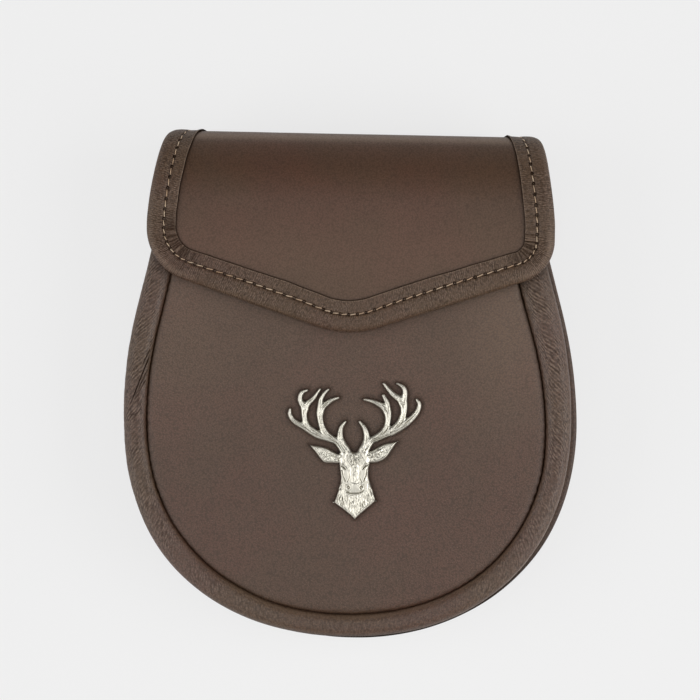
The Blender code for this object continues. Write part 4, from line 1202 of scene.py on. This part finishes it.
def on_flap(x, c, h):
    """Places at x, c along from the crest and h off the flap's middle surface."""
    back = np.clip(-c, 0, FLAP_BACK_LENGTH) / FLAP_BACK
    tight = np.clip(c, 0, FLAP_TIGHT_LENGTH) / FLAP_TIGHT_RADIUS
    wide = np.clip(c - FLAP_TIGHT_LENGTH, 0, FLAP_WIDE_LENGTH) / FLAP_WIDE_RADIUS
    y = FLAP_CREST_Y - FLAP_BACK * (1 - np.cos(back)) - FLAP_TIGHT_RADIUS * (1 - np.cos(tight))
    y = y - FLAP_WIDE_RADIUS * (flap_c - np.cos(FLAP_TIGHT + wide))
    y = y - np.maximum(c - FLAP_TIGHT_LENGTH - FLAP_WIDE_LENGTH, 0)
    y = y - np.maximum(-c - FLAP_BACK_LENGTH, 0)
    z = FLAP_TAIL_Z + FLAP_BACK - FLAP_BACK * np.sin(back) + FLAP_TIGHT_RADIUS * np.sin(tight)
    z = z + FLAP_WIDE_RADIUS * (np.sin(FLAP_TIGHT + wide) - flap_s)
    turned = tight + wide - back
    y, z = y + h * np.cos(turned), z + h * np.sin(turned)
    y = y + (FLAP_CREST_RISE - FLAP_CREST_LEAN * x) * eased((y - 72) / 34)
    across = x * math.cos(FLAP_SKEW) - (y - FLAP_SKEW_Y) * math.sin(FLAP_SKEW) + FLAP_SHIFT_X
    along = x * math.sin(FLAP_SKEW) + (y - FLAP_SKEW_Y) * math.cos(FLAP_SKEW) + FLAP_SKEW_Y
    return gridded(across, along, z)


def flap_c_at(y):
    """How far along from the crest a height on the flat front is."""
    return FLAP_TIGHT_LENGTH + FLAP_WIDE_LENGTH + FLAP_CREST_Y - FLAP_BEND_DEPTH - y


def flap_half_width(c):
    gain = FLAP_HALF_WIDTH - FLAP_CREST_HALF_WIDTH
    loss = FLAP_CREST_HALF_WIDTH - FLAP_TAIL_HALF_WIDTH
    reach = loss / (1.5 * gain / FLAP_FULL_WIDTH_C)
    front = FLAP_HALF_WIDTH - gain * np.clip(1 - c / FLAP_FULL_WIDTH_C, 0, 1) ** 1.5
    back = FLAP_CREST_HALF_WIDTH - loss * (1 - np.exp(np.minimum(c, 0) / reach))
    return np.where(c > 0, front, back)


def flap_half_edge(start_c, radius):
    """Half of the bound flap's edge, from its back down one side to the tip, as x and c."""
    apex_c = flap_c_at(FLAP_TIP_Y) + FLAP_TIP_RADIUS * (1 / math.cos(FLAP_SLOPE) - 1)
    turn = 0.5 * math.pi - FLAP_SLOPE
    meet_c = apex_c - FLAP_HALF_WIDTH * math.tan(FLAP_SLOPE)
    centre_c = meet_c - radius * math.tan(0.5 * turn)
    c = np.linspace(start_c, centre_c, 300)
    side = np.column_stack([flap_half_width(c), c])
    t = np.linspace(0.0, turn, 60)
    corner = np.column_stack([FLAP_HALF_WIDTH - radius * (1 - np.cos(t)),
                              centre_c + radius * np.sin(t)])
    t = np.linspace(FLAP_SLOPE, 0.0, 40)
    tip = np.column_stack([FLAP_TIP_RADIUS * np.sin(t),
                           flap_c_at(FLAP_TIP_Y) - FLAP_TIP_RADIUS * (1 - np.cos(t))])
    return np.vstack([side, corner[1:], tip])


def flap_edge(start_c, count):
    """The bound flap's edge, from its back down the right, round the tip and up the left."""
    right = flap_half_edge(start_c, FLAP_RIGHT_RADIUS)
    left = flap_half_edge(start_c, FLAP_LEFT_RADIUS)
    for side, (swell, swell_c) in ((right, FLAP_RIGHT_SWELL), (left, FLAP_LEFT_SWELL)):
        side[:, 0] += swell * bell(side[:, 1] - swell_c, FLAP_SWELL_REACH)
    return spaced(np.vstack([right, left[-2::-1] * (-1, 1)]), count)


def make_flap():
    edge = flap_edge(FLAP_TAIL_C - 8, 900)
    edge = edge + inward(edge) * FLAP_INSET
    tip = int(np.argmax(edge[:, 1]))
    last_c = edge[tip, 1] - 0.4
    # The rows lie closer over the bend, and closest at the tip.
    bend_from, bend_to = -20, 62
    c = np.concatenate([np.linspace(FLAP_TAIL_C, bend_from, 50)[:-1],
                        np.linspace(bend_from, bend_to, 130)[:-1],
                        last_c - (last_c - bend_to) * np.linspace(1, 0, 90) ** 1.5])[:, None]
    right, left = edge[:tip + 1], edge[tip:][::-1]
    reach_right = np.interp(c, right[:, 1], right[:, 0])
    reach_left = np.interp(c, left[:, 1], left[:, 0])
    x = reach_left + (reach_right - reach_left) * np.linspace(0.0, 1.0, 96)
    where = gridded(x, c)
    swell = 0.10 * wander(where, 44, 8.0) + 0.035 * wander(where, 12, 2.0)
    half = 0.5 * FLAP_THICKNESS
    points = np.concatenate([on_flap(x, c, half + swell).reshape(-1, 3),
                             on_flap(x, c, -half + swell).reshape(-1, 3)])
    rows, columns = x.shape
    count = rows * columns
    border = np.concatenate([np.arange(columns), np.arange(1, rows) * columns + columns - 1,
                             count - 2 - np.arange(columns - 1),
                             np.arange(rows - 2, 0, -1) * columns])
    following = np.roll(border, -1)
    faces = net(rows, columns) + net(rows, columns, first=count)
    faces += np.stack([border, following, following + count, border + count], 1).tolist()
    look = leather("flap_leather", grain_mm=0.72, grain_depth_mm=0.09, rough=0.5, waxed=0.56,
                   marked=("edge", "lip", "shade", "painted_light"), speckled=0.65)
    flap = piece("flap_bent", points, faces, look, 45)
    bevel = flap.modifiers.new("rubbed_edges", "BEVEL")
    bevel.width = 0.4 * MM
    bevel.segments = 2
    bevel.limit_method = "ANGLE"
    bevel.angle_limit = math.radians(60)
    edge_share = np.clip(FLAP_POLISH_WIDTH - (c - FLAP_TAIL_C), 0, 1)
    paint(flap, "edge", np.tile(np.repeat(edge_share, columns), 2))
    paint(flap, "lip_away", np.full(len(points), FAR))
    # A painted highlight lies just below its crest, a band of painted shade under that, and it is
    # paler lower down.
    flap_x, flap_y = points[:, 0], points[:, 1]
    highlight_y = FLAP_HIGHLIGHT_Y - FLAP_HIGHLIGHT_LEAN * (flap_x - FLAP_HIGHLIGHT_LEVEL_X)
    wear_and_light = 0.42 * bell(flap_y - highlight_y, FLAP_HIGHLIGHT_WIDTH) + 0.10 * eased((82 - flap_y) / 32)
    paint(flap, "painted_light", wear_and_light)
    paint(flap, "shade", 0.08 * bell(flap_y - FLAP_SHADE_BAND_Y, FLAP_SHADE_BAND_WIDTH))
    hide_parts("flap")
    holes_x = np.arange(-FLAP_SEAM_HALF_LENGTH, FLAP_SEAM_HALF_LENGTH + 0.1, STITCH_PITCH)
    for name, inset in FLAP_SEAMS.items():
        holes = on_flap(holes_x, np.full(len(holes_x), FLAP_TAIL_C + inset), half)
        stitched("flap_tail_stitches_" + name, holes, (0, 0, -1))


make_flap()


# --- Flap binding ------------------------------------------------------------------------
# A strip of soft leather folded round the flap's edge over a thin cord and sewn through all
# its layers. It puckers where it turns the corners, and its inner lip is a plain cut edge.

# Across the binding, u runs in from its outer edge, and h is the height off the flap's middle.
BINDING_END_C = -math.radians(78.0) * FLAP_BACK
BINDING_WIDTH_BY_C = [(-30, 12.2), (5, 12.4), (40, 12.2), (72, 12.6), (84, 13.3), (89, 13.0),
                      (92.3, 12.8)]
BINDING_SEAM_BY_C = [(-30, 7.3), (40, 7.35), (66, 7.5), (80, 8.1), (87, 8.0), (90.5, 7.5),
                     (92.3, 7.2)]
BINDING_SECTION = [(0.0, 0.0), (0.12, 0.75), (0.5, 1.5), (1.2, 2.25), (2.3, 2.8), (3.6, 3.02),
                   (5.0, 2.95), (6.3, 2.72)]
BINDING_BACK = [2, 4, 6, 8, 11, 14, 17, 20, 23, 26, 29, 33, 38, 44, 51]  # u's that its back has
BINDING_LIP_H, BINDING_HOLE_H = 2.6, 2.28
BINDING_SLOT_H, BINDING_SLOT_CREST_H = 1.62, 1.24  # half of the slot that the flap lies in
BINDING_SLOT_U = 5.6
BINDING_TIP_HOLE = 4.1  # the nearest hole to the tip, before it along the edge
BINDING_EAR = 0.7  # how far the lip stands off where it goes over the crest
BINDING_FLATTENED = 0.42  # over the crest, where the bend draws it thin
BINDING_SLANT = 0.12  # of its creases
CUT_LIP = [(0.10, 0.84), (0.13, 0.5), (0.06, 0.13), (0.0, 0.0)]  # how far out, and share of h
UNDER_FLAP = {"front_panel_crowned": 0.28, "edge_roll_padded": 0.45}  # how dark the painted shadow beside it is
SHADE_REACH = 3.0


def finder(places):
    """What finds the nearest of some places, and its number."""
    tree = KDTree(len(places))
    for k, place in enumerate(places):
        tree.insert(place, k)
    tree.balance()
    return tree


def paint_way_from_lip(path, width):
    """Keep how far each point of the flap is from the binding's lip that lies over it."""
    half = 0.5 * FLAP_THICKNESS
    normal = inward(path)
    lip_at = on_flap(*(path + normal * (width + 0.05)).T, half)
    way_in = on_flap(*(path + normal * (width + 1.05)).T, half) - lip_at
    lip = finder(lip_at)
    flap = bpy.data.objects["flap_bent"]
    away = np.full(len(flap.data.vertices), FAR, np.float32)
    to_pouch = laid.inverted()
    for k, vertex in enumerate(flap.data.vertices):
        place = to_pouch @ vertex.co
        _, row, apart = lip.find(place)
        if apart < 5:
            away[k] = way_in[row] @ (place - Vector(lip_at[row]))
    flap.data.attributes["lip_away"].data.foreach_set("value", away)


def shade_under_flap(path):
    """Paint shadow on what the flap lies over, close along its edge."""
    edge = finder(on_flap(*path.T, 0.0) * (1, 1, 0))

    def beside_flap(places):
        away = np.array([edge.find((x, y, 0))[2] for x, y, _ in places])
        return np.exp(-away / SHADE_REACH)

    for under, darkest in UNDER_FLAP.items():
        shaded(bpy.data.objects[under], lambda places: darkest * beside_flap(places))


def make_binding():
    path = flap_edge(BINDING_END_C, 1180)
    normal = inward(path)
    along = lengthwise(path)
    length = along[-1, 0]
    c = path[:, 1:]
    width = np.interp(c, *np.transpose(BINDING_WIDTH_BY_C))
    width = width + 0.22 * wander(gridded(along, 0.0), 9.0, 7.0)
    seam = np.interp(c, *np.transpose(BINDING_SEAM_BY_C))
    seam = seam + 0.12 * wander(gridded(along, 0.0), 14.0, 3.0)
    first_hole = (0.5 * length - BINDING_TIP_HOLE) % STITCH_PITCH
    stitches = (along - first_hole) / STITCH_PITCH
    from_hole = STITCH_PITCH * np.abs((stitches + 0.5) % 1 - 0.5)
    bend = np.clip(bending(path, 60)[:, None] * 1.6, 0, 1) * (1 - eased((c - 74) / 6))

    # Over the padded half, down to the seam, and over the lip.
    section = np.array(BINDING_SECTION)
    share = np.concatenate([np.linspace(0, 0.10, 7)[:-1], np.linspace(0.10, 1.0, 22)])
    dome_h = np.interp(share, section[:, 0] / section[-1, 0], section[:, 1])
    for _ in range(2):
        dome_h[1:-1] = 0.25 * dome_h[:-2] + 0.5 * dome_h[1:-1] + 0.25 * dome_h[2:]
    lip_share = np.linspace(0.0, 1.0, 24)
    lip_h = BINDING_LIP_H + 0.12 * np.sin(math.pi * lip_share) - 0.02
    u = np.hstack([share * (seam - 0.75), seam - 0.5 + (width - seam + 0.5) * lip_share])
    smooth_h = np.append(dome_h, lip_h)

    # Creases run across the strip. They gather at the corners into deep radial puckers.
    across = gridded(along + BINDING_SLANT * u, 0.16 * u)
    fine = creases(across, 1.15, 2.6, 4.0)
    broad = creases(across, 2.6, 2.2, 14.0)
    grainy = wander(gridded(along, 0.8 * u), 1.3, 21.0)
    worked = np.clip(0.55 + 0.8 * wander(gridded(along, 0.5 * u), 15, 6.0), 0.15, 1)
    on_lip = eased((u - seam) / 1.6)
    pucker_at = creases(gridded(along, 0.05 * u), 3.1, 1.7, 40.0)
    pucker = pucker_at * bend * (0.15 + 0.85 * on_lip)
    held = eased(u / 1.2)
    depth = held * (0.13 * worked * fine + 0.14 * worked ** 2 * broad * (0.5 + 0.5 * on_lip))
    depth = depth + 0.60 * pucker - 0.04 * grainy * held
    valley = bell(u - seam, 0.62)
    hole = np.exp(-(from_hole / 0.6) ** 4) * np.exp(-((u - seam) / 0.5) ** 4)
    tug = bell(from_hole, 0.8) * bell(u - seam, 1.4)
    thinned = 1 - BINDING_FLATTENED * bell(c, 15)
    h = (smooth_h - depth - 0.30 * valley - 0.9 * hole - 0.14 * tug) * thinned
    h = h + BINDING_EAR * bell(c, 5) * eased((u - width + 2.2) / 2.2)
    # Painted shade in the creases, the puckers, the seam's groove and the needle holes.
    crease = worked * (0.33 * fine + 0.17 * broad) + 1.3 * pucker * pucker_at + 0.5 * valley
    crease = np.clip(crease + 1.3 * hole + 0.3 * np.clip(grainy, 0, 1), 0, 1)

    # Round the lip's cut edge, in and out again along the slot, and back along the back.
    out, up = np.transpose(CUT_LIP)
    cut_u = width + out
    not_crest = (thinned - 1 + BINDING_FLATTENED) / BINDING_FLATTENED
    slot = BINDING_SLOT_CREST_H + (BINDING_SLOT_H - BINDING_SLOT_CREST_H) * not_crest
    cut_h = slot + (h[:, -1:] - slot) * up
    slot_u = width - (width - BINDING_SLOT_U) * np.array([0.3, 0.65, 1.0])
    slot_h = np.repeat(slot, 3, axis=1)
    back_h = -(smooth_h - 0.5 * depth - 0.2 * valley) * thinned
    back_cut_h = -(slot + (-back_h[:, -1:] - slot) * up)
    back = BINDING_BACK[::-1]
    all_u = np.hstack([u, cut_u, slot_u, slot_u[:, ::-1], cut_u[:, ::-1], u[:, back]])
    all_h = np.hstack([h, cut_h, slot_h, -slot_h, back_cut_h[:, ::-1], back_h[:, back]])
    sections = on_flap(path[:, :1] + normal[:, :1] * all_u, c + normal[:, 1:] * all_u, all_h)
    look = leather("binding_leather", grain_mm=0.62, grain_depth_mm=0.18, rough=0.5, waxed=0.66,
                   marked=("crease", "edge", "run", "holes", "painted_light"), dye=DYE_SOFT,
                   strand_mm=0.65)
    binding = piece("flap_binding_sewn", *tube(sections), look, 75)

    unseen = np.zeros((len(path), all_u.shape[1] - u.shape[1]))
    paint(binding, "crease", np.hstack([crease, unseen]))
    drawn = 0.65 + 0.35 * bend - 0.15 * eased((c - 76) / 9)
    paint_run(binding, along + BINDING_SLANT * all_u, 0.48 * all_u, drawn)
    # Painted highlights: a thin line along the lip's cut edge, the puckers' ridges, and the dome
    # where it bends round a corner.
    ridges = np.clip(1 - 1.6 * pucker_at, 0, 1) * np.clip(0.5 + grainy, 0, 1)
    painted_light = np.maximum(0.5 * bell(u - width, 0.3), 0.45 * bend * on_lip * ridges)
    painted_light = np.maximum(painted_light, 0.30 * bend * bell(u - 1.8, 1.1))
    paint(binding, "painted_light", np.hstack([painted_light, unseen]))
    # Where each point lies among the stitches, for painted shade in the needle holes.
    paint(binding, "seam_x", stitches + 0 * all_u)
    paint(binding, "seam_y", np.hstack([u - seam, unseen + FAR]) / STITCH_PITCH)
    cut_edge = unseen.copy()
    cut_edge[:, 0:3] = 1.0
    paint(binding, "edge", np.hstack([0 * u, cut_edge]))
    # The flap gets a painted shadow under the lip, and what it lies over a painted shadow along its
    # edge.
    paint_way_from_lip(path, width)
    shade_under_flap(path)
    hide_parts("flap_binding")

    at = np.interp(np.arange(first_hole, length, STITCH_PITCH), along[:, 0], np.arange(len(path)))
    row = at.astype(int).clip(0, len(path) - 2)
    spot = path[row] + (at - row)[:, None] * (path[row + 1] - path[row]) + normal[row] * seam[row]
    sunk_h = BINDING_HOLE_H * thinned[row, 0]
    holes, above = on_flap(*spot.T, sunk_h), on_flap(*spot.T, sunk_h + 1)
    stitched("flap_binding_stitches", holes, above - holes, slant=0.16, radius=0.18, short=0.16)


make_binding()


# --- Press stud --------------------------------------------------------------------------
# The hidden closure between the flap and the front panel: a plain turned stud in dark metal.
# It is shut, with one rim close to the flap and the other close to the panel.

STUD_Y, STUD_RADIUS, STUD_NECK = 42.0, 5.5, 3.6
STUD_LOW, STUD_HIGH = 36.54, 37.9
# The profile of each of its two rims, from its flat face to the neck: radius, and how deep.
STUD_RIM = [(STUD_RADIUS - 0.15, 0.0), (STUD_RADIUS, 0.12), (STUD_RADIUS, 0.38),
            (STUD_RADIUS - 0.2, 0.5), (STUD_NECK + 0.15, 0.5), (STUD_NECK, 0.6)]


def make_stud():
    profile = [(r, STUD_LOW + deep) for r, deep in STUD_RIM]
    profile += [(r, STUD_HIGH - deep) for r, deep in reversed(STUD_RIM)]
    turn = np.linspace(0.0, 2 * math.pi, 64, endpoint=False)
    rings = [gridded(r * np.cos(turn), STUD_Y + r * np.sin(turn), z) for r, z in profile]
    look = Look("stud_metal", Metallic=1.0)
    where = look.place()
    brushed = look.clouds(where, 0.5, 3.0)
    tarnish = look.clouds(where, 3.0, 3.0)
    look.feed("Base Color", look.mixed(tarnish, rgb(142, 138, 130), rgb(88, 82, 74)))
    look.feed("Roughness", 0.3 + brushed * 0.2)
    look.feed("Normal", look.bumped(brushed, 0.01))
    stud = piece("press_stud_turned", *tube(np.array(rings)), look, 30)
    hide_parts("press_stud")


make_stud()


# --- Floor, light and camera -------------------------------------------------------------
# The pouch lies on a plain pale floor under a wide soft light. The camera looks down at it
# from its front, a little from its right, close to square on.

FLOOR_WIDTH = 6.0  # in metres
LOOKED_AT = (1.4, 14.1, 30.0)
VIEW_SIDE = math.radians(3.4)
VIEW_DISTANCE = 1300.0
VIEW_WIDTH = 294.0  # of the picture, at the front of the pouch
FILM_WIDTH = 36.0
# Each light's place, its width and height, how bright its face is, and what it faces.
SOFTBOXES = {
    "upper_light": ((0, 120, 1700), 1500, 860, 1.25, (0, 120, 0)),
    "lower_light": ((0, -740, 1700), 1500, 860, 0.70, (0, -740, 0)),
    "left_light": ((-1500, -300, 1150), 1300, 1800, 2.3, (-300, -100, 0)),
    "right_light": ((1500, -300, 1150), 1300, 1800, 3.2, (300, -100, 0)),
}


def make_floor():
    bpy.ops.mesh.primitive_plane_add(size=FLOOR_WIDTH, location=(0, 0, 0))
    floor = bpy.context.object
    floor.name = "floor"
    look = Look("floor_paper", Roughness=0.8, Specular_IOR_Level=0.1, Emission_Strength=0.915)
    cloud = look.clouds(look.place(), 400)
    look.feed("Base Color", look.mixed(cloud, rgb(106, 106, 106), rgb(109, 109, 109)))
    look.feed("Emission Color", look.mixed(cloud, rgb(231, 231, 231), rgb(232, 232, 232)))
    floor.data.materials.append(look.material)


def aimed(made, place, target):
    """Stand a light or a camera at a place of the pouch's frame, facing another."""
    place, target = laid @ Vector(place), laid @ Vector(target)
    along = (target - place).normalized()
    up = (laid.to_3x3() @ Vector((0, 1, 0))).normalized()
    right = along.cross(up).normalized()
    turned = Matrix((right, right.cross(along), -along)).transposed()
    made.matrix_world = Matrix.Translation(place) @ turned.to_4x4()


def softbox(name, place, width, height, radiance, target):
    """A soft light: its power is set so that its face is as bright as asked."""
    light = bpy.data.lights.new(name, "AREA")
    light.shape = "RECTANGLE"
    light.size, light.size_y = width * MM, height * MM
    light.energy = radiance * math.pi * light.size * light.size_y
    made = bpy.data.objects.new(name, light)
    bpy.context.scene.collection.objects.link(made)
    aimed(made, place, target)


make_floor()
for name, light in SOFTBOXES.items():
    softbox(name, *light)

# The room's pale walls are lit, and its ceiling is dim.
room = bpy.data.worlds.new("room")
room.use_nodes = True
air = Nodes(room.node_tree)
way_out = air.node("ShaderNodeTexCoord", output="Generated")
upward = air.node("ShaderNodeSeparateXYZ", None, {0: way_out}, output="Z")
walls = air.node("ShaderNodeMapRange", {"interpolation_type": "SMOOTHSTEP"},
                 {"Value": upward, "From Min": 0.05, "From Max": 0.45, "To Min": 1.0,
                  "To Max": 0.05})
sky = air.tree.nodes["Background"]
air.tree.links.new(walls.socket, sky.inputs["Strength"])
sky.inputs["Color"].default_value = rgb(240, 240, 240)
bpy.context.scene.world = room

lens = bpy.data.cameras.new("camera")
lens.sensor_width = FILM_WIDTH
lens.lens = FILM_WIDTH * VIEW_DISTANCE / VIEW_WIDTH
lens.clip_end = 20.0
camera = bpy.data.objects.new("camera", lens)
bpy.context.scene.collection.objects.link(camera)
way_back = Vector((math.sin(VIEW_SIDE), 0, math.cos(VIEW_SIDE)))
aimed(camera, Vector(LOOKED_AT) + VIEW_DISTANCE * way_back, LOOKED_AT)
bpy.context.scene.camera = camera
bpy.context.scene.view_settings.view_transform = "Standard"
